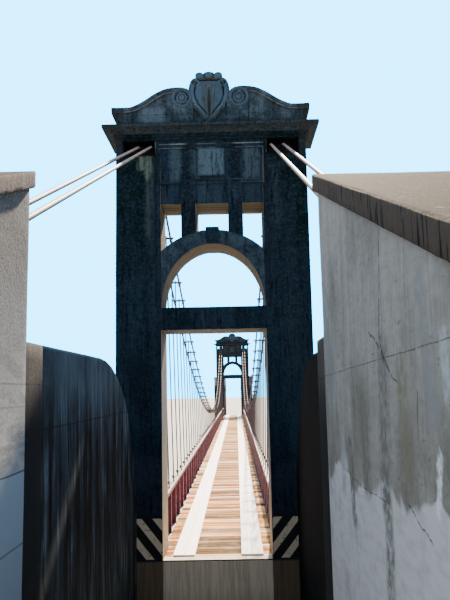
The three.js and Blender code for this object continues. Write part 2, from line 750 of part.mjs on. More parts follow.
function approachGroup(prefix, sideNames) {
  const group = new THREE.Group();
  group.add(towerGroup(prefix, sideNames));
  [-1, 1].forEach((side) => {
    addPiece(group, `${prefix}_${sideNames[side]}_anchor_block`, anchorPiece(side), paleConcrete);
    addPiece(group, `${prefix}_${sideNames[side]}_wing_wall`, wingWallPiece(side), concrete);
  });
  return group;
}

bridge.add(approachGroup('near', nearSides));
const farApproach = approachGroup('far', farSides);
farApproach.rotation.z = Math.PI;
bridge.add(farApproach);

const panelNames = ['near', 'middle', 'far'];
const postsInEndPanel = 19;
const panelStarts = [0, postsInEndPanel, POSTS_A_SIDE - postsInEndPanel];
const panelEnds = [postsInEndPanel - 1, POSTS_A_SIDE - postsInEndPanel - 1, POSTS_A_SIDE - 1];

[-1, 1].forEach((side) => {
  const name = nearSides[side];
  addPiece(bridge, `${name}_outer_cable`, cablePiece(side, CABLE_SPACING / 2), cableSteel);
  addPiece(bridge, `${name}_inner_cable`, cablePiece(side, -CABLE_SPACING / 2), cableSteel);
  panelNames.forEach((panel, index) => {
    const geometry = sidePanel(side, panelStarts[index], panelEnds[index]);
    geometry.translate(0, 0, DECK_HEIGHT);
    addPiece(bridge, `${name}_${panel}_side`, geometry, maroonSteel);
  });
  addPiece(
    bridge,
    `${name}_track`,
    deckStrip(mirrorRange([TRACK_INNER, TRACK_OUTER], side), BETWEEN_TREADS, GAP, TRACK_THICKNESS),
    trackBoards,
  );
});
addPiece(bridge, 'deck_frame', deckFramePiece(), maroonSteel);
addPiece(bridge, 'deck_planks', planksPiece(), planks);

export default bridge;
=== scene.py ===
import json
import math

import bmesh
import bpy
import numpy as np
from mathutils import Matrix, Vector, noise

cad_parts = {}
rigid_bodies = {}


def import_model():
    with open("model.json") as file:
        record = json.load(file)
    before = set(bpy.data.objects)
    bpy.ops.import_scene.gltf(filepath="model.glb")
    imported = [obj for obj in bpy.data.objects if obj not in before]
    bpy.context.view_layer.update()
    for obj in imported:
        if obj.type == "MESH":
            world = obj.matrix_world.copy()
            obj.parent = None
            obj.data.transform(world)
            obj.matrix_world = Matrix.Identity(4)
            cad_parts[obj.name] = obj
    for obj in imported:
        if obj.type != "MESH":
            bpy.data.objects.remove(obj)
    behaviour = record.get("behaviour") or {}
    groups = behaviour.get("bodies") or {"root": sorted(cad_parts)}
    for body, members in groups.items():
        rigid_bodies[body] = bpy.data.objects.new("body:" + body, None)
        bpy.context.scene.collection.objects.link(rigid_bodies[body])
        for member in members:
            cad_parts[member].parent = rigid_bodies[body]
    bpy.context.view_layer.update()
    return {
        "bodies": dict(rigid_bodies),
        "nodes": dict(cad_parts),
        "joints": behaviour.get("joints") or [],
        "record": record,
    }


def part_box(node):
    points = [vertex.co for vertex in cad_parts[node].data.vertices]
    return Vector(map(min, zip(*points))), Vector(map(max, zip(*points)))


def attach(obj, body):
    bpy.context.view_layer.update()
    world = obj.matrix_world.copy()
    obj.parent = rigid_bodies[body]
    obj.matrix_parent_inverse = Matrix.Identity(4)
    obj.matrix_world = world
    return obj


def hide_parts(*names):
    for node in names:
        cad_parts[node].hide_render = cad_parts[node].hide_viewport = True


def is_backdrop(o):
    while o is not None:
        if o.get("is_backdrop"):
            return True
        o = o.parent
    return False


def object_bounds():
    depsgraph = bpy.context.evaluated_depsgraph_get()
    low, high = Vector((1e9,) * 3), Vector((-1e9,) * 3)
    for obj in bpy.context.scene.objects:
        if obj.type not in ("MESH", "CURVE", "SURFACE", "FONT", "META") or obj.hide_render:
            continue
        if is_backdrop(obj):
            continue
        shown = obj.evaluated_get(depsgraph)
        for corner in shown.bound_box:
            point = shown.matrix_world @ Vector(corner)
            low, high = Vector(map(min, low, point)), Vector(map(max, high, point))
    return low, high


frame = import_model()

# The view of the footbridge: from between the two anchor blocks of the near approach, through
# the near portal, on a plain pale floor, under a soft light that comes from beyond the bridge
# and a little from the right, before a bright plain backdrop.
EYE = Vector((0.043, -4.8803, 0.4787))
EYE_PITCH = 0.1311
EYE_YAW = -0.0143
EYE_ROLL = -0.0198
LENS_MM = 26.8
LONG_SIDE_MM = 24.0
SUN_AZIMUTH = math.radians(5.5)
SUN_ELEVATION = math.radians(37.6)
SUN_WIDTH = math.radians(1.5)
SUN_STRENGTH = 26.0
SKY_LIGHT = 1.78
BACKDROP_LIGHT = 11.0


def linear(hex_colour):
    """An sRGB hex colour as the linear colour that the shaders take."""
    parts = [int(hex_colour[at:at + 2], 16) / 255 for at in (1, 3, 5)]
    return tuple(p / 12.92 if p <= 0.04045 else ((p + 0.055) / 1.055) ** 2.4 for p in parts) + (1.0,)


def add(near, kind, links=None, **settings):
    """Adds a node to the tree of near, a tree or any node or socket in it.

    Settings are the node's own properties, links its inputs by name or by number.
    """
    tree = near.id_data
    made = tree.nodes.new(kind)
    for key, value in settings.items():
        setattr(made, key, value)
    for key, value in (links or {}).items():
        if isinstance(value, bpy.types.NodeSocket):
            tree.links.new(value, made.inputs[key])
        else:
            made.inputs[key].default_value = value
    return made


def new_material(name, gloss=0.5):
    """A material, its surface shader, and the spot on the piece; gloss is the strength of its shine."""
    made = bpy.data.materials.new(name)
    made.use_nodes = True
    surface = made.node_tree.nodes["Principled BSDF"]
    surface.inputs["Specular IOR Level"].default_value = gloss
    return made, surface, add(surface, "ShaderNodeTexCoord").outputs["Object"]


def placed(name, data):
    """An object of the scene with that data, at the origin."""
    made = bpy.data.objects.new(name, data)
    bpy.context.scene.collection.objects.link(made)
    return made


def pointing(turn, rise):
    """The direction turned to the right of the bridge's line and raised, by angles in radians."""
    return Vector((math.sin(turn) * math.cos(rise), math.cos(turn) * math.cos(rise), math.sin(rise)))


eye = placed("eye", bpy.data.cameras.new("eye"))
forward = pointing(EYE_YAW, EYE_PITCH)
across = Vector((math.cos(EYE_YAW), -math.sin(EYE_YAW), 0))
upward = across.cross(forward)
right = across * math.cos(EYE_ROLL) + upward * math.sin(EYE_ROLL)
top = upward * math.cos(EYE_ROLL) - across * math.sin(EYE_ROLL)
eye.matrix_world = Matrix.Translation(EYE) @ Matrix((right, top, -forward)).transposed().to_4x4()
eye.data.sensor_width = LONG_SIDE_MM
eye.data.lens = LENS_MM
eye.data.clip_start = 0.01
bpy.context.scene.camera = eye

sun = placed("sun", bpy.data.lights.new("sun", "SUN"))
sun.rotation_mode = "QUATERNION"
sun.rotation_quaternion = pointing(SUN_AZIMUTH, SUN_ELEVATION).to_track_quat("Z", "Y")
sun.data.angle = SUN_WIDTH
sun.data.energy = SUN_STRENGTH
sun.data.color = linear("#ffecd2")[:3]

sky = bpy.data.worlds.new("sky")
sky.use_nodes = True
glow = sky.node_tree.nodes["Background"].inputs
seen = add(glow[0], "ShaderNodeLightPath").outputs["Is Camera Ray"]
strength = add(seen, "ShaderNodeMapRange", {0: seen, 3: SKY_LIGHT, 4: BACKDROP_LIGHT}).outputs[0]
hues = {0: seen, 6: linear("#bfdbf8"), 7: linear("#1abcff")}
sky.node_tree.links.new(strength, glow["Strength"])
sky.node_tree.links.new(add(seen, "ShaderNodeMix", hues, data_type="RGBA").outputs[2], glow["Color"])
bpy.context.scene.world = sky

FLOOR_HALF = 30.0
corners = [(x * FLOOR_HALF, y * FLOOR_HALF, 0) for x, y in ((-1, -1), (1, -1), (1, 1), (-1, 1))]
floor_mesh = bpy.data.meshes.new("floor")
floor_mesh.from_pydata(corners, [], [(0, 1, 2, 3)])
pale_floor, surface, spot = new_material("pale_studio_floor")
surface.inputs["Base Color"].default_value = linear("#a5a29b")
surface.inputs["Roughness"].default_value = 0.9
floor_mesh.materials.append(pale_floor)
placed("floor", floor_mesh)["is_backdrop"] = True

# The four anchor blocks that hold the cable ends: mass concrete poured against boards in
# lifts, each with a toe pier in front and a stained coping slab bedded on its sloping top.
# Sizes with REAL in them are the real bridge's metres; the model is a tenth of that size.
REAL = 0.1
DECK_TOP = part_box("near_sill")[1].z
PORTAL_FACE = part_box("near_sill")[0].y
ARRIS = 0.012 * REAL
CAST_STEP = 0.05 * REAL
CHIP_SIZES = (0.09 * REAL, 0.3 * REAL)
WAVE_SIZE = 0.6 * REAL
WAVE_SEED = 7
noise.seed_set(WAVE_SEED)  # noise_vector otherwise starts from the clock, and differs each run


class Casting:
    """Closed cast solids, gathered as one piece: their points, faces and each face's finish."""

    def __init__(self):
        self.points, self.faces, self.skins, self.hollows = [], [], [], []

    def loft(self, stations, skins, step=CAST_STEP, arris=ARRIS, wave=0.003 * REAL):
        """Adds a solid between outlines of as many corners each, with worn, chipped arrises.

        skins are the finishes of its sides, one for each corner and the next, then of both ends.
        """
        stations = [np.array(station, float) for station in stations]
        rings = [stations[0]]
        for before, after in zip(stations, stations[1:]):
            length = np.linalg.norm(after - before, axis=1).max()
            steps = max(1, round(length / step))
            rings += [before + (after - before) * at / steps for at in range(1, steps + 1)]
        for end, inner in ((0, 1), (-1, -2)):
            middle = rings[end].mean(axis=0)
            run = rings[inner] - rings[end]
            eased = rings[end] + run * min(0.4, arris / max(1e-9, np.linalg.norm(run, axis=1).max()))
            size = np.linalg.norm(rings[end] - middle, axis=1).max()
            rings[end] = middle + (rings[end] - middle) * (1 - 0.5 * arris / size)
            rings.insert(1 if end == 0 else len(rings) - 1, eased)
        corners = len(stations[0])
        lengths = [np.linalg.norm(np.roll(ring, -1, axis=0) - ring, axis=1) for ring in stations]
        counts = [max(1, round(side / step)) for side in np.max(lengths, axis=0)]
        first = len(self.points)
        round_count = sum(count + 2 for count in counts)
        for ring in rings:
            start = len(self.points)
            corner_at = []
            for side in range(corners):
                here, there = ring[side], ring[(side + 1) % corners]
                length = np.linalg.norm(there - here)
                edge = min(0.4, arris / length) if length > 1e-9 else 0.0
                corner_at.append(len(self.points) - start)
                shares = [0.0, *(edge + (1 - 2 * edge) * at / counts[side] for at in range(counts[side] + 1))]
                self.points += [here + (there - here) * share for share in shares]
            for at in corner_at:
                here = self.points[start + at]
                before = self.points[start + (at - 1) % round_count]
                after = self.points[start + (at + 1) % round_count]
                chip = sum(noise.noise(Vector(here) / size) for size in CHIP_SIZES)
                self.points[start + at] = here + ((before + after) / 2 - here) * (0.55 + max(0.0, chip))
        for at in range(first, len(self.points)):
            shift = noise.noise_vector(Vector(self.points[at]) / WAVE_SIZE)
            self.points[at] = self.points[at] + np.array(shift) * wave
        for ring in range(len(rings) - 1):
            at = 0
            for side in range(corners):
                for _ in range(counts[side] + 2):
                    a = first + ring * round_count + at
                    b = first + ring * round_count + (at + 1) % round_count
                    self.faces.append((a, b, b + round_count, a + round_count))
                    self.skins.append(skins[side])
                    at += 1
        last = first + (len(rings) - 1) * round_count
        self.faces += [tuple(range(first, first + round_count)), tuple(range(last, last + round_count))]
        self.skins += [skins[-2], skins[-1]]

    def piece(self, name, materials, slot, *stands_for, turned=False, smooth=50):
        """Makes the gathered solids one piece of the bridge; turned puts it at the far end."""
        mesh = bpy.data.meshes.new(name)
        mesh.from_pydata([tuple(point) for point in self.points], [], self.faces)
        mesh.polygons.foreach_set("material_index", self.skins)
        if self.hollows:
            mesh.attributes.new("hollow", "FLOAT", "POINT").data.foreach_set("value", self.hollows)
        shape = bmesh.new()
        shape.from_mesh(mesh)
        bmesh.ops.remove_doubles(shape, verts=shape.verts, dist=1e-6)
        bmesh.ops.recalc_face_normals(shape, faces=shape.faces)
        if turned:
            bmesh.ops.rotate(shape, verts=shape.verts, matrix=Matrix.Rotation(math.pi, 3, "Z"))
        bmesh.ops.triangulate(shape, faces=[face for face in shape.faces if len(face.verts) > 4])
        shape.to_mesh(mesh)
        shape.free()
        return finished(name, mesh, materials, slot, *stands_for, smooth=smooth)


def finished(name, mesh, materials, slot, *stands_for, smooth=50):
    """A mesh as a piece of the bridge: its finishes, its shading and what it stands for; slot is not used."""
    for made in materials:
        mesh.materials.append(made)
    mesh.shade_smooth()
    mesh.set_sharp_from_angle(angle=math.radians(smooth))
    made = placed(name, mesh)
    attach(made, "root")
    if stands_for:
        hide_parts(*stands_for)
    return made


def at(x, depth, z):
    """A point at the near end, in real metres: across, behind the portal's outer face, above the deck."""
    return (x * REAL, PORTAL_FACE + depth * REAL, DECK_TOP + z * REAL)


def over(value, low, high, out_low=0.0, out_high=1.0):
    """A value's place between low and high, as a share that stays between 0 and 1."""
    return add(value, "ShaderNodeMapRange", {0: value, 1: low, 2: high, 3: out_low, 4: out_high}).outputs[0]


def product(*values):
    """All the values multiplied together; the first is a node's."""
    result = values[0]
    for value in values[1:]:
        result = add(result, "ShaderNodeMath", {0: result, 1: value}, operation="MULTIPLY").outputs[0]
    return result


def total(*values):
    """All the values added together; the first is a node's."""
    result = values[0]
    for value in values[1:]:
        result = add(result, "ShaderNodeMath", {0: result, 1: value}, operation="ADD").outputs[0]
    return result


def own_axes(spot):
    """Real metres across, behind the portal's outer face and above the deck, alike at both ends."""
    axes = add(spot, "ShaderNodeSeparateXYZ", {0: spot}).outputs
    end = add(spot, "ShaderNodeMath", {0: axes[1]}, operation="SIGN").outputs[0]
    depth = add(spot, "ShaderNodeMath", {0: axes[1]}, operation="ABSOLUTE").outputs[0]
    return (product(axes[0], end, -1 / REAL), total(product(depth, -1 / REAL), -PORTAL_FACE / REAL),
            total(product(axes[2], 1 / REAL), -DECK_TOP / REAL))


def facing_up(spot):
    """How far a face looks upward: 1 where it is level, 0 where upright, -1 underneath."""
    normal = add(spot, "ShaderNodeNewGeometry").outputs["Normal"]
    return add(spot, "ShaderNodeSeparateXYZ", {0: normal}).outputs[2]


def cloudy(spot, low, high, detail, stretch, roughness=0.5):
    """Cloudy variation, 0 to 1, with so many ups and downs in a metre of the model along each axis."""
    spread = add(spot, "ShaderNodeMapping", {"Vector": spot, "Scale": stretch}).outputs[0]
    cloud = add(spot, "ShaderNodeTexNoise", {"Vector": spread, "Scale": 1.0, "Detail": detail,
                                             "Roughness": roughness})
    return over(cloud.outputs["Fac"], low, high)


def streaks(spot, width, length, low=0.35, high=0.65):
    """Upright rain streaks, 0 to 1, narrow across and long upright, in real metres."""
    across = 1 / (width * REAL)
    return cloudy(spot, low, high, 5.0, (across, across, 1 / (length * REAL)), 0.62)


def uneven(spot, size, low=0.4, high=0.6, detail=4.0):
    """Soft patches of about that size in real metres, 0 to 1."""
    return cloudy(spot, low, high, detail, [1 / (size * REAL)] * 3, 0.6)


def band(value, middle, half, fade, wobble=0.0):
    """1 where a value lies within half of the middle, fading to 0; wobble shifts it unevenly."""
    away = total(value, wobble, -middle)
    away = add(value, "ShaderNodeMath", {0: away}, operation="ABSOLUTE").outputs[0]
    return over(away, half, half + fade, 1.0, 0.0)


def stroke(depth, z, start, end, half):
    """1 on a line between two points of (depth, z), fading out a little beyond its half width."""
    run = Vector((end[0] - start[0], end[1] - start[1], 0.0))
    here = add(z, "ShaderNodeCombineXYZ", {0: depth, 1: z}).outputs[0]
    away = add(z, "ShaderNodeVectorMath", {0: here, 1: (*start, 0.0)}, operation="SUBTRACT").outputs[0]
    share = add(z, "ShaderNodeVectorMath", {0: away, 1: run / run.length_squared}, operation="DOT_PRODUCT")
    share = over(share.outputs["Value"], 0.0, 1.0)
    nearest = add(z, "ShaderNodeVectorMath", {0: run, "Scale": share}, operation="SCALE").outputs[0]
    gap = add(z, "ShaderNodeVectorMath", {0: away, 1: nearest}, operation="DISTANCE").outputs["Value"]
    return over(gap, half, 2.2 * half, 1.0, 0.0)


def stained(colour, *stains):
    """A colour under stains: each is a hue, then shares that multiply to how strongly it lies over."""
    colour = linear(colour) if isinstance(colour, str) else colour
    for hue, *shares in stains:
        mix = {0: product(*shares), 6: colour, 7: linear(hue)}
        colour = add(shares[0], "ShaderNodeMix", mix, data_type="RGBA").outputs[2]
    return colour


def coated(surface, colour, roughness, metallic=0.0):
    """Gives a surface its colour, and how dull and how metallic it is."""
    surface.id_data.links.new(colour, surface.inputs["Base Color"])
    surface.inputs["Roughness"].default_value = roughness
    surface.inputs["Metallic"].default_value = metallic


def embossed(surface, height, depth, strength=0.5):
    """A height, 0 to 1, as relief on the surface, that many real metres deep."""
    bump = {"Height": height, "Strength": strength, "Distance": depth * REAL}
    surface.id_data.links.new(add(surface, "ShaderNodeBump", bump).outputs[0], surface.inputs["Normal"])


def roughened(surface, spot, grit, depth, extra=0.0):
    """Grit of that size in real metres as relief on the surface, over an extra height if given."""
    grain = cloudy(spot, 0.0, 1.0, 8.0, [1 / (grit * REAL)] * 3, 0.7)
    embossed(surface, total(grain, extra), depth, 0.7)


# Concrete poured against boards, with joints between its lifts: matt, grey on the left-hand blocks,
# bluish below their lift line, browner, cracked and leached white on the right-hand ones, dark where
# the foot is damp. The left-hand blocks carry painted shade, darker at the top and toward the foot;
# the right-hand ones carry painted light, paler toward the foot.
wall_concrete, surface, spot = new_material("board_marked_concrete", 0.2)
x, depth, z = own_axes(spot)
right_side, left_side = over(x, -0.01, 0.01), over(x, 0.01, -0.01)
shift = total(product(uneven(spot, 0.3, 0.0, 1.0), 0.06), product(uneven(spot, 0.04, 0.0, 1.0), 0.02), -0.04)
crooked_z = total(z, shift)
crooked_depth = total(depth, product(shift, -1.0))
lengthwise = add(spot, "ShaderNodeMapping", {"Vector": spot, "Scale": (1.0, 0.3, 1.0)}).outputs[0]
colour = stained(
    "#8f8983",
    ("#aba49d", streaks(spot, 0.16, 1.8, 0.25, 0.75)),
    ("#b0a699", right_side, 0.6),
    ("#80786a", uneven(spot, 0.6, 0.45, 0.7), right_side),
    ("#a0a3a6", left_side, 0.85),
    # Painted shade: the left-hand blocks darker toward the top, under the coping.
    ("#34373c", left_side, over(z, 2.9, 4.3), 0.95),
    ("#5d5d5c", uneven(lengthwise, 0.1, 0.48, 0.62, 6.0), left_side, 0.5),
    ("#55544d", streaks(spot, 0.03, 0.5, 0.5, 0.75), 0.4, over(x, -0.01, 0.01, 0.35, 1.0)),
    ("#6a6760", streaks(spot, 0.2, 1.0, 0.52, 0.68), over(crooked_z, 4.3, 3.0, 0.25, 0.55), right_side),
    ("#4f4d48", uneven(lengthwise, 0.03, 0.62, 0.72, 3.0), 0.5),
    ("#5d5850", uneven(lengthwise, 0.04, 0.4, 0.7, 8.0), 0.26),
    ("#a9abab", uneven(spot, 0.025, 0.5, 0.8, 2.0), 0.4),
    ("#5d5f60", cloudy(spot, 0.6, 0.72, 3.0, (2.0, 2.0, 150.0)), 0.35, left_side),
)

# Below an uneven line the right-hand blocks were made good in smoother, paler concrete.
dip = over(depth, -9.3, -8.7, 0.0, 0.14)
ragged = total(crooked_z, product(uneven(spot, 0.7, 0.3, 0.7, 3.0), -0.22), dip)
peak = product(band(crooked_depth, -9.53, 0.05, 0.1), band(z, 2.75, 0.08, 0.1))
made_good = add(z, "ShaderNodeMath", {0: over(ragged, 2.745, 2.715), 1: peak}, operation="MAXIMUM").outputs[0]
colour = stained(
    colour,
    ("#d8d2cf", made_good, right_side, uneven(spot, 0.5, 0.2, 0.45)),
    # Painted light: the made-good concrete paler still toward the foot.
    ("#bfb0a4", made_good, right_side, over(z, 2.3, 1.3), 0.8),
    ("#9a9690", made_good, right_side, uneven(lengthwise, 0.05, 0.45, 0.7, 6.0), 0.4),
    # Left-hand blocks below their lift line: smoother concrete whose bluish tone is partly painted shade,
    # going darker toward the foot as painted shade.
    ("#8a99a8", over(crooked_z, 2.79, 2.74), left_side),
    ("#6f7a84", left_side, over(z, 2.4, 1.2)),
)

# Weather marks and cracks: their ends in (depth, z), their half width and, for marks, their hue.
WEATHER_MARKS = (
    ((-9.5, 2.94), (-9.49, 2.7), 0.04, "#a9a7a8"), ((-11.425, 3.07), (-11.38, 2.89), 0.014, "#f2f1f3"),
    ((-11.53, 3.42), (-11.53, 3.26), 0.022, "#b9bbbd"), ((-10.69, 3.4), (-10.62, 2.82), 0.06, "#75726a"),
    ((-10.99, 3.33), (-11.02, 3.0), 0.05, "#857e68"), ((-10.2, 3.2), (-10.21, 2.86), 0.07, "#7b7568"),
    ((-11.3, 3.6), (-11.38, 3.2), 0.04, "#8d8c88"), ((-9.04, 3.65), (-9.1, 3.2), 0.05, "#87888a"),
    ((-10.65, 2.82), (-10.55, 1.2), 0.045, "#75766c"), ((-9.75, 2.95), (-9.8, 2.6), 0.04, "#757167"),
)
CRACKS = (
    ((-10.76, 4.2), (-10.74, 3.98), 0.005), ((-10.74, 3.98), (-10.62, 3.5), 0.0035),
    ((-10.42, 3.53), (-10.62, 3.44), 0.003), ((-10.62, 3.5), (-10.69, 3.38), 0.005),
    ((-10.66, 3.42), (-10.78, 3.34), 0.0045), ((-10.78, 3.34), (-10.92, 3.29), 0.0025),
    ((-11.14, 3.9), (-11.1, 3.42), 0.0015), ((-11.21, 3.26), (-11.18, 3.1), 0.0025),
    ((-9.55, 2.81), (-10.1, 2.78), 0.0015), ((-10.1, 2.78), (-10.68, 2.8), 0.0018),
    ((-11.0, 2.86), (-11.28, 2.77), 0.0025), ((-9.7, 3.9), (-9.73, 3.62), 0.0012),
)
LIFT_JOINTS = ((3.343, 0.5), (3.19, 0.35), (2.752, 0.9), (2.27, 0.7), (1.3, 0.7), (0.3, 0.7))
soft_z, soft_depth = total(z, product(shift, 2.2)), total(depth, product(shift, 1.2))
patchy = uneven(spot, 0.05, 0.3, 0.6)
for start, end, half, hue in WEATHER_MARKS:
    colour = stained(colour, (hue, stroke(soft_depth, soft_z, start, end, half), right_side, patchy))
broken = over(uneven(spot, 0.03), 0.1, 0.5, 0.15, 0.85)
for start, end, half in CRACKS:
    crack = stroke(crooked_depth, crooked_z, start, end, half)
    colour = stained(colour, ("#33322f", crack, right_side, broken))
right_lift = band(total(z, product(depth, 0.0215)), 3.1695, 0.001, 0.003, product(shift, 0.3))
colour = stained(colour, ("#4d4b47", right_lift, right_side, broken))
for lift, strength in LIFT_JOINTS:
    joint = band(z, lift, 0.003, 0.006, product(shift, 0.2))
    colour = stained(colour, ("#3f4348", joint, left_side, strength))
colour = stained(colour, ("#4c4d45", over(z, -1.5, 0.4, 0.8, 0.0)))
coated(surface, colour, 0.92)
roughened(surface, spot, 0.03, 0.006, product(uneven(spot, 0.15, 0.2, 0.8, 6.0), 0.5))

# The coping is the same concrete, quite matt, brown with soil and lichen, darkest on its upper
# face, with black drips down its edge. The toe piers' tops have it too.
coping_concrete, surface, spot = new_material("lichened_coping_concrete", 0.05)
x, depth, z = own_axes(spot)
colour = stained(
    "#554c48",
    ("#7a6f69", streaks(spot, 0.05, 0.3, 0.3, 0.7)),
    ("#54493f", over(x, -0.01, 0.01), 0.9),
    ("#1d1e20", streaks(spot, 0.03, 0.35, 0.54, 0.62), over(x, -0.01, 0.01, 0.45, 1.0)),
    ("#1d1711", over(facing_up(spot), 0.5, 0.8), uneven(spot, 0.2, 0.1, 0.35)),
    ("#6d655a", uneven(spot, 0.06, 0.62, 0.74), 0.7),
)
coated(surface, colour, 0.95)
roughened(surface, spot, 0.03, 0.02)

# The toe piers' concrete is the same again, dull brown-black, streaked by what runs off the coping,
# and made much darker below about 3.2 m as painted shade.
toe_concrete, surface, spot = new_material("browned_toe_concrete_with_painted_shade", 0.1)
x, depth, z = own_axes(spot)
colour = stained(
    "#3c3835",
    ("#5a534d", streaks(spot, 0.04, 0.8, 0.3, 0.7)),
    # Painted shade: much darker below about 3.2 m.
    ("#161d24", over(z, 3.4, 3.0), 0.95),
    ("#2b2e2f", streaks(spot, 0.03, 0.5, 0.55, 0.7)),
    *(("#26292d", band(z, lift, 0.003, 0.006), 0.6) for lift in (3.343, 2.752, 2.27, 1.3, 0.3)),
    # More painted shade below about 3.2 m.
    ("#090e13", over(z, 3.4, 3.0), 0.6),
)
coated(surface, colour, 0.92)
roughened(surface, spot, 0.03, 0.008)

ENDS = (("near", 1), ("far", -1))
SIDES = (-1, 1)
BLOCK_INNER = 1.05
BLOCK_OUTER = 2.6
BLOCK_BACK = -13.8
BLOCK_FACE = -8.8
BLOCK_TOPS = {-1: 4.79, 1: 4.715}
BLOCK_FALL = 1.875
COPING_REACH = 0.035
COPING_THICKNESS = 0.12
TOE_FACE = -8.4
TOE_TOP = 3.64
GROUND = -1.5
WALL_STEP = 0.1 * REAL


def side_name(side, turn):
    """The hand of a near-end side, or of the one it becomes when it is turned to the far end."""
    return "left" if side * turn < 0 else "right"


def upright(side, x_low, x_high, depth, z_low, z_high):
    """An upright oblong across the bridge, the station of a piece that runs along it."""
    return [at(side * x_low, depth, z_low), at(side * x_high, depth, z_low),
            at(side * x_high, depth, z_high), at(side * x_low, depth, z_high)]


for end, turn in ENDS:
    for side in SIDES:
        name = f"{end}_{side_name(side, turn)}_anchor_block"
        front = BLOCK_TOPS[side]
        rear = front - BLOCK_FALL
        inner, outer = BLOCK_INNER - COPING_REACH, BLOCK_OUTER + COPING_REACH
        body = Casting()
        body.loft([upright(side, BLOCK_INNER, BLOCK_OUTER, BLOCK_BACK, GROUND, rear),
                   upright(side, BLOCK_INNER, BLOCK_OUTER, BLOCK_FACE, GROUND, front)], [0] * 6, WALL_STEP)
        body.loft([upright(side, BLOCK_INNER, BLOCK_OUTER, place, GROUND, TOE_TOP)
                   for place in (BLOCK_FACE - 0.02, TOE_FACE)], [2, 2, 1, 2, 2, 2], WALL_STEP)
        body.loft([upright(side, inner, outer, place, z - 0.01, z + COPING_THICKNESS) for place, z in (
            (BLOCK_BACK - COPING_REACH, rear), (BLOCK_FACE + COPING_REACH, front))], [1] * 6)
        body.piece(f"{name}_concrete", [wall_concrete, coping_concrete, toe_concrete], "wall_concrete", name,
                   turned=turn < 0)

# The wing walls between the anchor blocks and the near and far portals: thin walls poured
# against upright boards, black with algae; their tops fall in a quarter round to the portal.
WING_START = -8.397
WING_END = -0.003
WING_FALL = 3.6
WING_INNER = 1.575
WING_OUTER = 1.925
WING_TOP = 3.77
WING_FOOT = 0.6

# Rough concrete black with algae and soot: dull, streaked slightly aslant, with pale runs where
# water carried lime down it, muddy at the foot and washed pale along its top edge. The right-hand
# walls are made near black as painted shade, most of all on their inner faces.
wing_concrete, surface, spot = new_material("algae_black_wall_concrete_with_painted_shade", 0.05)
x, depth, z = own_axes(spot)
lean = add(spot, "ShaderNodeCombineXYZ", {1: product(z, 0.05 * REAL)}).outputs[0]
leaning = add(spot, "ShaderNodeVectorMath", {0: spot, 1: lean}, operation="ADD").outputs[0]
mud = over(z, 1.7, 0.0)
colour = stained(
    "#0c1218",
    ("#29343f", streaks(leaning, 0.3, 2.5, 0.3, 0.7)),
    ("#46535e", over(z, 2.3, 3.4), uneven(spot, 0.9, 0.2, 0.6)),
    ("#5b6975", streaks(leaning, 0.1, 1.1, 0.5, 0.66), uneven(spot, 0.5, 0.3, 0.6)),
    ("#020305", streaks(leaning, 0.25, 1.8, 0.47, 0.57), over(z, 3.6, 2.7, 0.25, 0.95)),
    ("#2b2c2a", mud, uneven(spot, 0.3, 0.3, 0.6), 0.8),
    ("#565655", mud, streaks(leaning, 0.09, 0.9, 0.52, 0.66)),
    ("#0c1014", band(z, 2.9, 0.004, 0.01), 0.6),
    ("#6f7a80", over(z, 3.735, 3.765)),
    # Painted shade: the right-hand walls near black, most of all on their inner faces.
    ("#030405", over(x, -0.01, 0.01), over(x, 1.62, 1.6, 0.78, 0.97)),
)
coated(surface, colour, 0.9)
roughened(surface, spot, 0.04, 0.02, streaks(leaning, 0.15, 1.5))

for end, turn in ENDS:
    for side in SIDES:
        wall = Casting()
        profile = [(WING_START, WING_TOP)]
        for step in range(13):
            angle = math.pi / 2 * step / 12
            profile.append((WING_END - WING_FALL * (1 - math.sin(angle)),
                            WING_FOOT + (WING_TOP - WING_FOOT) * math.cos(angle)))
        wall.loft([upright(side, WING_INNER, WING_OUTER, place, GROUND, height) for place, height in profile],
                  [0] * 6, WALL_STEP)
        name = f"{end}_{side_name(side, turn)}_wing_wall"
        wall.piece(f"{name}_concrete", [wing_concrete], "wall_concrete", name, turned=turn < 0)

# The portals' masonry: legs with pilasters and the cable slots, sill, beam over the doorway,
# arch with its keystone, and the wall over the three windows with its mullions. Rendered
# concrete, near black outside, limewashed in the doorway, hazard stripes painted on the legs.
HALF_WIDTH = 2.0
THICKNESS = 1.07
DOOR_HALF = 1.07
DOOR_TOP = 4.48
SILL_TREAD = 0.27
SILL_SEAT = -0.063
BEAM_TOP = 4.94
STRIP_RECESS = 0.05
PILASTER_INNER = 1.18
SLOT_BOTTOM = 8.16
SLOT_TOP = 8.5
SLOT_OUTER = 1.85
WINDOW_TOP = 7.12
HEAD_RECESS = 0.07
LEDGE_SIDE = 7.54
LEDGE_CENTRE = 7.61
MULLION_INNER = 0.335
MULLION_OUTER = 0.642
ARCH_RISE = 1.32
ARCH_BACK_RISE = 1.62
ARCH_BACK_HALF = 1.56
ARCH_RECESS = 0.04
KEY_TOP = 6.61
PORTAL_STEP = 0.06 * REAL
GAP = 0.003
DOOR_FILL = DOOR_HALF - GAP
KEY_FOOT_HALF = 0.112
KEY_TOP_HALF = 0.14
PLAQUE_HALF = 0.29
PLAQUE_RANGE = (7.7, 8.33)
OUTSIDE, REVEAL, WORN_TOP = 0, 1, 2

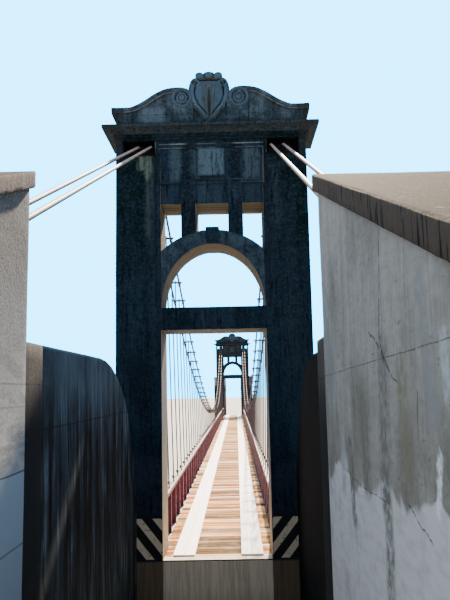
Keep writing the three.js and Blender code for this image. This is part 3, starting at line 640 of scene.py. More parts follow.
# Rendered concrete black with soot: quite matt, greener high on the pilasters, washed paler by rain
# in soft upright bands under the cornice; greyer on the pediment, brown below it. The front faces'
# blue-black is partly painted sky shade, the faces behind neutral grey; the cable slots and the
# carvings' grooves are painted shade, the carvings' ridges painted highlight.
portal_concrete, surface, spot = new_material("blackened_portal_concrete_with_painted_shade", 0.03)
x, depth, z = own_axes(spot)
out = add(x, "ShaderNodeMath", {0: x}, operation="ABSOLUTE").outputs[0]
shift = total(product(uneven(spot, 0.25, 0.0, 1.0), 0.14), -0.07)
soft_x = total(x, shift)
soft_z = total(z, product(shift, 2.0))
wide_runs = streaks(spot, 0.3, 2.2, 0.3, 0.7)
fine_runs = streaks(spot, 0.05, 0.8, 0.4, 0.7)
colour = stained(
    "#070f18",
    ("#10202b", wide_runs),
    ("#22303c", fine_runs, 0.55, uneven(spot, 0.5, 0.35, 0.65)),
    ("#051416", over(z, 5.6, 6.6), over(out, 1.16, 1.24), uneven(spot, 0.4, 0.3, 0.55)),
)

# Areas that rain has washed or soot has kept: middle and half size in x, then in z, hue, strength.
WASHED_AREAS = (
    (0.0, 1.02, 7.33, 0.16, "#1e2b39", 0.9), (0.0, 1.02, 8.0, 0.45, "#1d2b38", 0.9),
    (-1.125, 0.05, 6.6, 1.9, "#1b2631", 0.9), (1.125, 0.05, 6.6, 1.9, "#18222e", 0.9),
    (0.05, 0.3, 4.7, 0.2, "#212d39", 0.7), (-1.31, 0.006, 7.2, 0.75, "#3b464b", 0.8),
    (-1.24, 0.03, 5.4, 1.6, "#18222c", 0.8), (1.45, 0.25, 6.4, 1.1, "#16202a", 0.7),
    (1.6, 0.2, 4.2, 0.9, "#18222b", 0.7), (1.35, 0.02, 7.3, 0.6, "#212d35", 0.7),
    (-0.75, 0.07, 7.98, 0.3, "#3a4a54", 0.8), (-0.34, 0.03, 7.97, 0.3, "#334149", 0.7),
    (0.84, 0.12, 7.99, 0.27, "#3b4a53", 0.8), (-0.22, 0.08, 7.33, 0.12, "#2e3c4b", 0.7),
    (0.14, 0.03, 7.33, 0.12, "#29363f", 0.7), (0.8, 0.05, 7.33, 0.12, "#253139", 0.7),
    (-0.53, 0.03, 7.95, 0.4, "#0a121a", 0.9), (0.5, 0.06, 7.95, 0.4, "#0a1119", 0.9),
    (-0.96, 0.03, 7.9, 0.35, "#0e1830", 0.6), (-0.49, 0.09, 7.1, 0.6, "#0a1018", 0.8),
    (-1.4, 0.35, 1.35, 0.5, "#232a35", 0.8), (1.4, 0.35, 1.3, 0.45, "#222934", 0.7),
)
mostly = over(fine_runs, 0.0, 1.0, 0.6, 1.0)
for middle_x, half_x, middle_z, half_z, hue, strength in WASHED_AREAS:
    colour = stained(colour, (hue, band(soft_x, middle_x, half_x, 0.11), band(soft_z, middle_z, half_z, 0.16),
                              strength, mostly))

lichened = product(band(soft_x, -1.41, 0.13, 0.05), band(soft_z, 8.0, 0.1, 0.06))
tongue = product(band(soft_x, -1.33, 0.04, 0.04), band(z, 7.85, 0.16, 0.08))
patch = add(x, "ShaderNodeMath", {0: lichened, 1: tongue}, operation="MAXIMUM").outputs[0]
above = over(z, 8.76, 8.8)
cornice_zone = band(z, 8.69, 0.07, 0.01)
outer_face = product(over(out, 1.985, 1.998), over(z, 8.55, 8.5))
behind = add(x, "ShaderNodeMath", {0: over(depth, 0.12, 0.4), 1: outer_face}, operation="MAXIMUM").outputs[0]
less_in_runs = over(fine_runs, 0.0, 1.0, 1.0, 0.6)
hollow = add(spot, "ShaderNodeAttribute", attribute_name="hollow").outputs["Fac"]
colour = stained(
    colour,
    ("#4b5650", patch, over(fine_runs, 0.0, 0.5, 0.55, 1.0)),
    ("#41525f", band(x, 0.0, 0.24, 0.05), band(z, 8.015, 0.26, 0.05), uneven(spot, 0.3, 0.1, 0.4)),
    ("#323f4b", band(depth, 0.04, 0.02, 0.01), over(out, 1.08, 1.06), band(z, 5.7, 0.9, 0.02),
     uneven(spot, 0.25, 0.25, 0.6), 0.8),
    ("#2b363e", above),
    ("#46545f", above, uneven(spot, 0.3, 0.45, 0.6), over(z, 8.9, 9.05)),
    ("#4d5c68", above, band(soft_x, -1.25, 0.2, 0.12), band(z, 9.12, 0.12, 0.1)),
    ("#64676e", above, band(depth, 0.122, 0.008, 0.003), over(uneven(spot, 0.2), 0.0, 1.0, 0.25, 0.9)),
    ("#11171c", above, over(soft_z, 9.02, 8.84), less_in_runs),
    ("#222c36", cornice_zone),
    ("#333434", cornice_zone, uneven(spot, 0.12, 0.45, 0.65)),
    ("#23272b", over(out, 1.83, 1.87), over(z, 8.0, 8.3), 0.8),
    # Faces behind the front and the legs' outer sides get neutral grey; the front keeps a blue that is partly
    # painted shade.
    ("#262829", behind, over(wide_runs, 0.0, 1.0, 0.9, 0.55)),
    ("#04080c", streaks(spot, 0.06, 0.6, 0.54, 0.66), 0.8, over(z, 9.6, 8.7, 0.35, 1.0)),
    ("#35444f", uneven(spot, 0.05, 0.5, 0.75, 8.0), over(z, 4.0, 7.5, 0.15, 0.45)),
    ("#020406", uneven(spot, 0.05, 0.44, 0.3, 2.0), 0.6),
    # Painted shade: the insides of the cable slots near black.
    ("#010102", band(z, 8.33, 0.185, 0.01), band(out, 1.51, 0.345, 0.01), over(depth, 0.02, 0.15)),
    ("#3f392f", behind, over(soft_z, 0.6, -1.0), 0.8, over(fine_runs, 0.0, 1.0, 1.0, 0.5)),
    ("#5e5143", over(z, -0.01, -0.05), over(behind, 1.0, 0.0), less_in_runs),
    # The sill below the deck made pale: partly dust, partly painted sunlight.
    ("#c3b5a2", over(z, -0.02, -0.03), over(out, 1.069, 1.067), over(z, -1.3, -0.5, 0.35, 0.9),
     less_in_runs),
    # Painted shade and painted highlight on the carvings: near black in the grooves, paler on the ridges.
    ("#66747c", over(hollow, 0.0, -1.0, 0.0, 0.7)),
    ("#04080b", over(hollow, 0.0, 1.0, 0.0, 0.92)),
)
coated(surface, colour, 0.88)
roughened(surface, spot, 0.03, 0.014, uneven(spot, 0.15, 0.2, 0.8))


def recoloured(finish, name):
    """A copy of a finish to stain further: the copy, its surface shader, its colour and its spot."""
    made = finish.copy()
    made.name = name
    surface = made.node_tree.nodes["Principled BSDF"]
    colour = surface.inputs["Base Color"].links[0].from_socket
    return made, surface, colour, add(surface, "ShaderNodeTexCoord").outputs["Object"]


# Black and cream hazard stripes in road paint on the legs' outer faces beside the doorway: dull,
# worn through to the black render in patches.
STRIPE_PERIOD = 0.46
striped_concrete, surface, colour, spot = recoloured(portal_concrete, "portal_concrete_with_hazard_paint")
x, depth, z = own_axes(spot)
out = add(x, "ShaderNodeMath", {0: x}, operation="ABSOLUTE").outputs[0]
field = product(band(out, 1.33, 0.245, 0.01), band(z, 0.43, 0.42, 0.01))
rise = total(product(out, -1.24), z)
rise = add(z, "ShaderNodeMath", {0: rise, 1: STRIPE_PERIOD, 2: 0.0}, operation="WRAP").outputs[0]
colour = stained(
    colour,
    ("#1c1e21", field, over(uneven(spot, 0.1), 0.0, 0.4, 0.6, 1.0)),
    ("#b3a693", field, band(rise, STRIPE_PERIOD / 2, 0.095, 0.012), band(z, 0.4, 0.38, 0.01),
     uneven(spot, 0.06, 0.3, 0.42)),
)
coated(surface, colour, 0.88)

# Limewash in the doorway and window reveals: chalky, gone grey, browner near the deck, with
# leached streaks, and board marks under the beam and the arch.
reveal_concrete, surface, spot = new_material("limewashed_reveal_concrete", 0.2)
x, depth, z = own_axes(spot)
colour = stained(
    "#45474a",
    ("#656460", streaks(spot, 0.12, 1.4)),
    ("#96805f", over(z, 2.4, 0.2), uneven(spot, 0.4, 0.2, 0.5)),
    ("#45413a", uneven(spot, 0.15, 0.58, 0.75)),
    ("#564e40", over(z, 4.2, 4.9)),
    ("#766c59", over(z, 6.9, 7.0)),
    ("#40372a", cloudy(spot, 0.5, 0.65, 3.0, (3.0, 120.0, 60.0)), over(z, 4.2, 4.9), 0.7),
)
coated(surface, colour, 0.9)
roughened(surface, spot, 0.03, 0.012)

# Bare concrete on the sill's top: trodden pale and a little smooth, with dark joints across it.
sill_concrete, surface, spot = new_material("trodden_sill_concrete")
x, depth, z = own_axes(spot)
colour = stained("#9c8f80", ("#c9baa8", uneven(spot, 0.2, 0.3, 0.7)),
                 *(("#4a4038", band(depth, joint, 0.006, 0.008)) for joint in (0.3, 0.62, 0.95)))
coated(surface, colour, 0.85)
roughened(surface, spot, 0.02, 0.01)

PORTAL_FINISHES = [portal_concrete, reveal_concrete, sill_concrete, striped_concrete]
STRIPED = 3


def leg_outline(side, inner, strip, recess, z):
    """A leg's level outline: its pilaster from inner outward, with a set-back strip inside it."""
    corners = [(HALF_WIDTH, 0), (inner, 0), (inner, recess), (strip, recess), (strip, THICKNESS - recess),
               (inner, THICKNESS - recess), (inner, THICKNESS), (HALF_WIDTH, THICKNESS)]
    return [at(side * x, depth, z) for x, depth in corners]


def leg(side):
    """A leg with its pilaster, up to the cable slot, and the cheek that closes the slot outside."""
    shape = Casting()
    shape.loft([leg_outline(side, *level) for level in (
        (DOOR_HALF, DOOR_HALF, 0, GROUND), (DOOR_HALF, DOOR_HALF, 0, BEAM_TOP),
        (PILASTER_INNER, DOOR_HALF, STRIP_RECESS, BEAM_TOP),
        (PILASTER_INNER, DOOR_HALF, STRIP_RECESS, SLOT_BOTTOM))],
        [STRIPED, OUTSIDE, OUTSIDE, REVEAL] + [OUTSIDE] * 6, PORTAL_STEP)
    shape.loft([[at(side * x, depth, z) for x, depth in (
        (HALF_WIDTH, 0), (SLOT_OUTER, 0), (SLOT_OUTER, THICKNESS), (HALF_WIDTH, THICKNESS))]
        for z in (SLOT_BOTTOM - 0.03, SLOT_TOP)], [OUTSIDE] * 6, PORTAL_STEP)
    return shape


def level_outline(half, near, far, z):
    """A level oblong as wide as twice half, from a near face to a far one."""
    return [at(-half, near, z), at(half, near, z), at(half, far, z), at(-half, far, z)]


def sill():
    """The sill: a tread at the outer face and, behind it, a lower seat that carries the planks."""
    shape = Casting()
    for near, far, top in ((0, SILL_TREAD, 0), (SILL_TREAD - 0.03, THICKNESS, SILL_SEAT)):
        shape.loft([level_outline(DOOR_FILL, near, far, z) for z in (GROUND, top)],
                   [OUTSIDE] * 5 + [WORN_TOP], PORTAL_STEP)
    return shape


def beam():
    """The beam over the doorway, limewashed underneath."""
    shape = Casting()
    shape.loft([level_outline(DOOR_FILL, 0, THICKNESS, z) for z in (DOOR_TOP, BEAM_TOP)],
               [OUTSIDE] * 4 + [REVEAL, OUTSIDE], PORTAL_STEP)
    return shape


def arch_back(x):
    """The height of the arch's back at x."""
    return BEAM_TOP + ARCH_BACK_RISE * math.sqrt(1 - (x / ARCH_BACK_HALF) ** 2)


def arch():
    """The half-round arch between the legs, and its keystone that stands out on both faces."""
    steps = 40
    inner_start, back_start = math.acos(DOOR_FILL / DOOR_HALF), math.acos(DOOR_FILL / ARCH_BACK_HALF)
    stations = []
    for step in range(steps + 1):
        inner = inner_start + (math.pi - 2 * inner_start) * step / steps
        back = back_start + (math.pi - 2 * back_start) * step / steps
        inner = (-DOOR_HALF * math.cos(inner), BEAM_TOP + ARCH_RISE * math.sin(inner))
        back = (-ARCH_BACK_HALF * math.cos(back), BEAM_TOP + ARCH_BACK_RISE * math.sin(back))
        near, far = ARCH_RECESS, THICKNESS - ARCH_RECESS
        stations.append([at(x, depth, z) for (x, z), depth in (
            (inner, near), (inner, far), (back, far), (back, near))])
    shape = Casting()
    shape.loft(stations, [REVEAL] + [OUTSIDE] * 5, PORTAL_STEP)
    shape.loft([level_outline(half, 0, THICKNESS, z) for half, z in (
        (KEY_FOOT_HALF, BEAM_TOP + ARCH_RISE), (KEY_TOP_HALF, KEY_TOP))], [OUTSIDE] * 6, PORTAL_STEP)
    return shape


def window_head():
    """The wall over the three windows, its raised plaque, and the two mullions down to the arch."""
    shape = Casting()
    wall_top = SLOT_BOTTOM + GAP
    shape.loft([level_outline(half, recess, THICKNESS - recess, z) for half, recess, z in (
        (DOOR_FILL, HEAD_RECESS, WINDOW_TOP), (DOOR_FILL, HEAD_RECESS, LEDGE_SIDE),
        (DOOR_FILL, STRIP_RECESS, LEDGE_SIDE), (DOOR_FILL, STRIP_RECESS, wall_top),
        (PILASTER_INNER, STRIP_RECESS, wall_top), (PILASTER_INNER, STRIP_RECESS, SLOT_TOP))],
        [OUTSIDE] * 4 + [REVEAL, OUTSIDE], PORTAL_STEP)
    shape.loft([level_outline(PLAQUE_HALF, STRIP_RECESS / 2, THICKNESS - STRIP_RECESS / 2, z)
                for z in PLAQUE_RANGE], [OUTSIDE] * 6, PORTAL_STEP)
    for side in SIDES:
        low, high = sorted((side * MULLION_INNER, side * MULLION_OUTER))
        foot = [(low, 0), (high, 0), (high, THICKNESS), (low, THICKNESS)]
        shape.loft([[at(x, place, arch_back(x) + 0.005) for x, place in foot],
                    [at(x, place, WINDOW_TOP + 0.01) for x, place in foot]],
                   [OUTSIDE, REVEAL, OUTSIDE, REVEAL, OUTSIDE, OUTSIDE], PORTAL_STEP)
        shape.loft([[at(x, place, z) for x, place in foot] for z in (WINDOW_TOP - 0.02, LEDGE_CENTRE)],
                   [OUTSIDE] * 6, PORTAL_STEP)
    return shape


for end, turn in ENDS:
    shapes = {f"{side_name(side, turn)}_leg": leg(side) for side in SIDES}
    shapes |= {"sill": sill(), "beam": beam(), "arch": arch(), "window_head": window_head()}
    for name, shape in shapes.items():
        shape.piece(f"{end}_{name}_masonry", PORTAL_FINISHES, "portal_concrete", f"{end}_{name}",
                    turned=turn < 0)

# The frieze over the windows: run mouldings on both faces of the wall, fillets under the
# cornice and one round the sunk field, stepped up over the windows. Cement render, rain-washed.
FRIEZE_FACE = STRIP_RECESS
FILLET = [(-0.013, -0.01), (0.013, -0.01), (0.013, 0.022), (0.004, 0.03), (-0.013, 0.026)]
UPPER_FILLETS = (8.326, 8.414)
FILLET_HALF = 1.1
FIELD_HALF = 1.095
FIELD_TOP = 8.3
LEDGE_FILLET = 0.02
STRIP_FILLET = (1.165, 8.48, 8.18)

# Fine cement render: dull, washed pale where the rain reaches it and sooty black elsewhere.
washed_render, surface, spot = new_material("washed_cement_mouldings", 0.05)
x, depth, z = own_axes(spot)
wandering = total(x, product(uneven(spot, 0.2, 0.0, 1.0), 0.06))
washed = band(z, 8.414, 0.05, 0.01)
colour = stained(
    "#1d2934",
    ("#475661", uneven(spot, 0.25, 0.3, 0.7)),
    ("#3f4d57", washed),
    ("#65727b", washed, over(wandering, 0.1, 0.3), uneven(spot, 0.15, 0.3, 0.6)),
    ("#65727b", washed, band(wandering, -0.62, 0.14, 0.1)),
    ("#0a1017", band(wandering, -0.4, 0.07, 0.1), over(z, 8.2, 8.3), 0.85),
    ("#0a1017", band(wandering, 0.33, 0.13, 0.1), over(z, 8.2, 8.3), 0.85),
    ("#0a1017", uneven(spot, 0.12, 0.5, 0.66), 0.8),
    ("#0c141c", over(z, 8.3, 8.2), over(wandering, 0.0, 0.5, 0.75, 0.4)),
    ("#0c141c", over(x, 1.1, 1.13), 0.8),
    ("#3f4b54", over(z, 8.28, 8.22), over(x, 0.98, 1.03), 0.5),
)
coated(surface, colour, 0.85)
roughened(surface, spot, 0.03, 0.01)


def run_moulding(shape, path, profile, face, back=False):
    """Adds a moulding along a path of (x, z) on a face: profile is (sideways, outward) points."""
    path = [Vector(point) for point in path]
    stations = []
    for index, here in enumerate(path):
        before = (here - path[index - 1]).normalized() if index else None
        after = (path[index + 1] - here).normalized() if index < len(path) - 1 else None
        before, after = before or after, after or before
        along = (before + after).normalized()
        sideways = Vector((-along.y, along.x)) / max(0.3, along.dot(after))
        station = []
        for aside, outward in profile:
            spot = here + sideways * aside
            depth = face - outward
            station.append(at(spot.x, THICKNESS - depth if back else depth, spot.y))
        stations.append(station)
    shape.loft(stations, [OUTSIDE] * (len(profile) + 2), PORTAL_STEP, arris=0.004 * REAL, wave=0.0015 * REAL)


for end, turn in ENDS:
    frieze = Casting()
    field = [(-FIELD_HALF, FIELD_TOP), (-FIELD_HALF, LEDGE_SIDE + LEDGE_FILLET),
             (-MULLION_OUTER, LEDGE_SIDE + LEDGE_FILLET), (-MULLION_OUTER, LEDGE_CENTRE + LEDGE_FILLET)]
    field += [(-x, z) for x, z in reversed(field)]
    place, high, low = STRIP_FILLET
    paths = [[(-FILLET_HALF, height), (FILLET_HALF, height)] for height in UPPER_FILLETS] + [field]
    paths += [[(side * place, high), (side * place, low)] for side in SIDES]
    for back in (False, True):
        for path in paths:
            run_moulding(frieze, path, FILLET, FRIEZE_FACE, back)
    frieze.piece(f"{end}_frieze_mouldings", [washed_render], "portal_concrete", turned=turn < 0, smooth=35)

# The cornices: a bed mould with fillets, a deep cove and a flat fascia, cast in one run round
# each portal's head; soiled brown under the cove, its fillets washed pale.
# Each step is a height and how far the cornice reaches out there.
CORNICE_STEPS = ((8.503, 0.0), (8.535, 0.0), (8.535, 0.022), (8.553, 0.022), (8.553, 0.06), (8.608, 0.06),
                 (8.616, 0.045), (8.63, 0.068), (8.65, 0.088), (8.67, 0.118), (8.69, 0.158), (8.705, 0.205),
                 (8.712, 0.235), (8.712, 0.26), (8.77, 0.262))
for end, turn in ENDS:
    cornice = Casting()
    cornice.loft([level_outline(HALF_WIDTH + reach, -reach, THICKNESS + reach, z)
                  for z, reach in CORNICE_STEPS], [OUTSIDE] * 6, PORTAL_STEP)
    cornice.piece(f"{end}_cornice_casting", [portal_concrete], "portal_concrete", f"{end}_cornice",
                  turned=turn < 0, smooth=35)

# The broken pediments: a field between raking bands that roll into two volutes, over plain
# pedestals. Cast concrete, greyer than the walls, with a moulded edge and a scroll cut in relief.
BAND_FACE = 0.1
FIELD_FACE = 0.16
PEDIMENT_FOOT = 8.773
VOLUTE_X = 0.605
VOLUTE_Z = 9.475
VOLUTE_RADIUS = 0.235
TOP_LINE = ((2.12, 9.294), (1.994, 9.286), (1.844, 9.284), (1.728, 9.287), (1.66, 9.305), (1.593, 9.336),
            (1.51, 9.376), (1.427, 9.423), (1.345, 9.478), (1.264, 9.534), (1.21, 9.568), (1.154, 9.598),
            (1.044, 9.655), (0.934, 9.69), (0.824, 9.706), (0.72, 9.712), (0.605, 9.71))
FIELD_DROP = 0.09
FIELD_INNER = [(0.0, 9.4), (0.36, 9.44)]
FIELD_OUTER = [(1.9, 9.19), (2.0, 9.19)]
PEDESTAL_INNER = 0.36
PEDESTAL_WIDTH = 0.44
FIELD_BEAD = [(-0.008, -0.01), (0.008, -0.01), (0.006, 0.008), (-0.008, 0.005)]
BEAD_HEIGHTS = (9.07, 9.13)
BAND_EDGE = ((0.0, BAND_FACE), (0.078, BAND_FACE), (0.084, BAND_FACE + 0.022), (0.1, BAND_FACE + 0.022),
             (0.106, BAND_FACE + 0.034), (0.13, FIELD_FACE + 0.005))


def raking_band(shape, side):
    """Adds one raking band along the pediment's top line, with its moulded edge on both faces."""
    line = [Vector(point) for point in TOP_LINE]
    stations = []
    for index, here in enumerate(line):
        along = (line[min(index + 1, len(line) - 1)] - line[max(index - 1, 0)]).normalized()
        if index == 0:
            along = Vector((-1.0, 0.0))
        down = Vector((along.y, -along.x)) * (1 if along.x > 0 else -1)
        front = [(here + down * drop, depth) for drop, depth in BAND_EDGE]
        back = [(spot, THICKNESS - depth) for spot, depth in reversed(front)]
        stations.append([at(side * spot.x, depth, spot.y) for spot, depth in front + back])
    shape.loft(stations, [OUTSIDE] * (2 * len(BAND_EDGE) + 2), step=PORTAL_STEP, arris=0.008 * REAL)


def pediment():
    """The sunk field, the raking bands and the pedestals under the volutes, on both sides."""
    shape = Casting()
    for side in SIDES:
        field = FIELD_INNER + [(x, z - FIELD_DROP) for x, z in reversed(TOP_LINE[2:])] + FIELD_OUTER
        shape.loft([[at(side * x, depth, height) for depth, height in (
            (FIELD_FACE, PEDIMENT_FOOT), (THICKNESS - FIELD_FACE, PEDIMENT_FOOT), (THICKNESS - FIELD_FACE, z),
            (FIELD_FACE, z))] for x, z in field], [OUTSIDE] * 6, PORTAL_STEP)
        raking_band(shape, side)
        inner, outer = side * PEDESTAL_INNER, side * (PEDESTAL_INNER + PEDESTAL_WIDTH)
        shape.loft([[at(inner, BAND_FACE, z), at(inner, THICKNESS - BAND_FACE, z),
                     at(outer, THICKNESS - BAND_FACE, z), at(outer, BAND_FACE, z)]
                    for z in (PEDIMENT_FOOT, VOLUTE_Z - 0.06)], [OUTSIDE] * 6, PORTAL_STEP)
        for height in BEAD_HEIGHTS:
            run_moulding(shape, [(side * 0.8, height), (side * 1.75, height)], FIELD_BEAD, FIELD_FACE)
    return shape


for end, turn in ENDS:
    pediment().piece(f"{end}_pediment_casting", [portal_concrete], "portal_concrete", f"{end}_pediment",
                     turned=turn < 0, smooth=35)

# The shell cartouches and the volutes: a fluted shield between leafy scrolls under three lobes,
# modelled in cement on both faces of a block that goes through the pediment.
CARTOUCHE_MIDDLE = -0.02
CARTOUCHE_HUB = 9.45
CARTOUCHE_FACE = 0.1
CARTOUCHE_FOOT = 8.86
CARTOUCHE_STRETCH = 1.03
NET_STEP = 0.02
HOLLOW_REACH = 0.018
CARTOUCHE_EDGE = (
    (0.0, 8.86), (0.06, 8.9), (0.11, 8.97), (0.17, 9.05), (0.25, 9.14), (0.268, 9.17), (0.31, 9.2),
    (0.345, 9.26), (0.34, 9.3), (0.375, 9.33), (0.405, 9.39), (0.402, 9.43), (0.43, 9.48), (0.442, 9.56),
    (0.44, 9.64), (0.425, 9.72), (0.4, 9.78), (0.36, 9.84), (0.315, 9.872), (0.262, 9.862), (0.252, 9.872),
    (0.283, 9.9), (0.293, 9.935), (0.28, 9.97), (0.245, 9.992), (0.2, 9.996), (0.155, 9.985),
    (0.118, 9.955), (0.098, 9.985), (0.05, 10.005), (0.0, 10.012))


def bump_at(value, middle, width):
    """A soft ridge: 1 where the value is the middle, falling off on both sides."""
    return math.exp(-((value - middle) / width) ** 2)


def cartouche_relief(x, z, rim):
    """How far the carving stands out at x and z: rim is the share of the way out to the edge."""
    across = abs(x)
    leaf = 0.055 * (1 - rim ** 5)
    scallops = 0.014 * math.cos(18 * math.atan2(across, z - 8.9)) * bump_at(rim, 0.86, 0.09) * (z < 9.75)
    frame = 0.022 * bump_at(rim, 0.84, 0.06) * (z < 9.84) - 0.03 * bump_at(rim, 0.7, 0.05) * (9.02 < z < 9.7)
    share = max(0.0, min(1.0, (z - 8.98) / 0.72))
    column = 0.02 + 0.085 * share
    pillar = 0.03 * bump_at(across, column, 0.022) * (9.0 < z < 9.76)
    groove = -0.05 * bump_at(across, 0.0, 0.03) * max(0.0, min(1.0, (9.7 - z) / 0.1)) * (z > 9.05)
    arch = 0.028 * bump_at(math.hypot(across, (z - 9.7) * 1.2), 0.1, 0.022) * (z > 9.7)
    panel = 0.012 * bump_at(across, 0.2, 0.07) * (z < 9.68)
    curl_gap = math.hypot(across - 0.3, z - 9.78)
    curl = 0.035 * bump_at(curl_gap, 0.085, 0.026) - 0.05 * bump_at(curl_gap, 0.03, 0.03)
    lobes = 0.0
    for middle, height, radius in ((0.0, 9.945, 0.095), (0.196, 9.93, 0.1)):
        spread = math.hypot(across - middle, z - height) / radius
        lobes = max(lobes, 0.07 * math.sqrt(max(0.0, 1 - spread * spread)))
    hollow = -0.06 * bump_at(z, 9.84, 0.022) * (across < 0.24)
    return leaf + scallops + frame + pillar + groove + arch + panel + curl + lobes + hollow


def volute_relief(x, z, rim):
    """A scroll: a rounded outer band that winds in to a disc with a ring cut in it."""
    wind = (math.atan2(z, x) / (2 * math.pi) + 0.35) % 1.0
    band_at = 0.86 - 0.08 * wind
    return (0.06 * bump_at(rim, band_at, 0.13) - 0.05 * bump_at(rim, band_at - 0.26, 0.06)
            + 0.04 * (rim < band_at - 0.28) - 0.025 * bump_at(rim, 0.3, 0.045))


def carve(shape, outline, middle, hub, face, relief, rings=34):
    """Adds a closed relief: a net from its hub to its outline on each face, joined by its edge.

    Each point also keeps how hollow it is there, 1 in a groove and -1 on a ridge, for painted shade and
    highlight.
    """
    points = []
    for here, there in zip(outline, outline[1:] + outline[:1]):
        parts = max(1, round(math.dist(here, there) / NET_STEP))
        points += [(here[0] + (there[0] - here[0]) * part / parts,
                    here[1] + (there[1] - here[1]) * part / parts) for part in range(parts)]
    count, begin = len(points), len(shape.points)
    for back in (False, True):
        first = len(shape.points)
        for ring in range(rings + 1):
            rim = ring / rings
            for x, z in points:
                px, pz = x * rim, hub + (z - hub) * rim
                height = relief(px, pz, rim)
                around = [relief(px + a * HOLLOW_REACH, pz + b * HOLLOW_REACH, rim)
                          for a, b in ((1, 0), (-1, 0), (0, 1), (0, -1))]
                around += [relief(px, pz, min(1.0, rim + 0.06)), relief(px, pz, max(0.0, rim - 0.06))]
                shape.hollows.append(max(-1.0, min(1.0, (sum(around) / 6 - height) / 0.008)))
                grain = 0.004 * noise.noise(Vector((px + middle, pz, 3.0 * back)) / 0.04)
                depth = face - height - grain
                shape.points.append(at(middle + px, THICKNESS - depth if back else depth, pz))
        shape.faces += [(first + ring * count + step, first + ring * count + (step + 1) % count,
                         first + (ring + 1) * count + (step + 1) % count, first + (ring + 1) * count + step)
                        for ring in range(rings) for step in range(count)]
    front, rear = begin + rings * count, begin + (2 * rings + 1) * count
    shape.faces += [(front + step, front + (step + 1) % count, rear + (step + 1) % count, rear + step)
                    for step in range(count)]
    shape.skins += [OUTSIDE] * (len(shape.faces) - len(shape.skins))


# Carved cement: the portal's sooty black, blue-grey over the carving but left dark in its grooves as
# painted shade, with the portal's paler ridges as painted highlight; mossy in the shield and
# rust-brown under the middle lobe.
carved_concrete, surface, colour, spot = recoloured(portal_concrete, "carved_cartouche_concrete")
x, depth, z = own_axes(spot)
hollow = add(spot, "ShaderNodeAttribute", attribute_name="hollow").outputs["Fac"]
colour = stained(
    colour,
    # Blue-grey kept out of the grooves, which stay dark as painted shade.
    ("#3b4f60", band(x, -0.02, 0.86, 0.02), uneven(spot, 0.12, 0.3, 0.6), over(hollow, 0.6, 0.0)),
    ("#3f4238", band(x, -0.02, 0.12, 0.06), band(z, 9.35, 0.3, 0.08), 0.4),
    ("#472d25", band(x, 0.0, 0.09, 0.06), band(z, 9.85, 0.01, 0.03), uneven(spot, 0.08, 0.3, 0.6)),
)
coated(surface, colour, 0.88)

for end, turn in ENDS:
    cartouche = Casting()
    edge = [(x, CARTOUCHE_FOOT + (z - CARTOUCHE_FOOT) * CARTOUCHE_STRETCH) for x, z in CARTOUCHE_EDGE]
    carve(cartouche, edge + [(-x, z) for x, z in reversed(edge[1:-1])], CARTOUCHE_MIDDLE, CARTOUCHE_HUB,
          CARTOUCHE_FACE, cartouche_relief)
    cartouche.piece(f"{end}_cartouche_carving", [carved_concrete], "portal_concrete", f"{end}_cartouche",
                    turned=turn < 0, smooth=60)
    volutes = Casting()
    for side in SIDES:
        circle = [(side * VOLUTE_RADIUS * math.cos(angle), VOLUTE_Z + VOLUTE_RADIUS * math.sin(angle))
                  for angle in (2 * math.pi * step / 72 for step in range(72))]
        carve(volutes, circle, side * VOLUTE_X, VOLUTE_Z, BAND_FACE + 0.03,
              lambda x, z, rim, side=side: volute_relief(side * x, z - VOLUTE_Z, rim), 26)
    volutes.piece(f"{end}_volutes_carving", [carved_concrete], "portal_concrete", turned=turn < 0, smooth=60)

# The saddles in the legs' slots: cast-iron rockers with a groove for each of two cables,
# bedded on the slot floor. Dark, rusty and worn smooth where the cables bear.
CABLE_RADIUS = 0.028
CABLE_SPACING = 0.26
SADDLE_X = 1.4
SADDLE_APEX = 8.46
BACKSTAY_SLOPE = 0.445
MAIN_SLOPE = 0.3935
BACKSTAY_ANGLE = math.atan(BACKSTAY_SLOPE)
MAIN_ANGLE = math.atan(MAIN_SLOPE)
SADDLE_RADIUS = THICKNESS / (math.sin(BACKSTAY_ANGLE) + math.sin(MAIN_ANGLE))
GROOVE_RADIUS = CABLE_RADIUS + 0.004
SADDLE_MIDDLE = SADDLE_RADIUS * math.sin(BACKSTAY_ANGLE)

# Cast iron gone dark brown: dull rust with a little metal still in it where it is rubbed.
saddle_iron, surface, spot = new_material("rusted_cast_iron", 0.1)
coated(surface, stained("#060505", ("#150e0b", uneven(spot, 0.05, 0.35, 0.65))), 0.7, 0.1)
roughened(surface, spot, 0.015, 0.006)


def saddle_arc(radius, steps):
    """Points along the bend of a cable over the portal: behind the outer face, above the deck."""
    turns = [-BACKSTAY_ANGLE + (BACKSTAY_ANGLE + MAIN_ANGLE) * step / steps for step in range(steps + 1)]
    return [(SADDLE_MIDDLE + radius * math.sin(turn), SADDLE_APEX - SADDLE_RADIUS + radius * math.cos(turn))
            for turn in turns]


def saddle(side):
    """A rocker, lofted across: its top bends as the cables do and drops into a groove under each."""
    shape = Casting()
    half = CABLE_SPACING / 2 + 2 * CABLE_RADIUS
    stations = []
    for step in range(33):
        aside = -half + 2 * half * step / 32
        off = abs(abs(aside) - CABLE_SPACING / 2)
        crown = SADDLE_RADIUS + 0.004 - math.sqrt(max(0.0, GROOVE_RADIUS ** 2 - off * off))
        top = saddle_arc(crown, 14)[2:-2]
        base = [(top[-1][0], SLOT_BOTTOM + GAP), (top[0][0], SLOT_BOTTOM + GAP)]
        outline = [(depth, max(z, SLOT_BOTTOM + 0.01)) for depth, z in top] + base
        stations.append([at(side * (SADDLE_X + aside), depth, z) for depth, z in outline])
    shape.loft(stations, [0] * 15, step=0.12 * REAL, arris=0.003 * REAL, wave=0.0005 * REAL)
    return shape


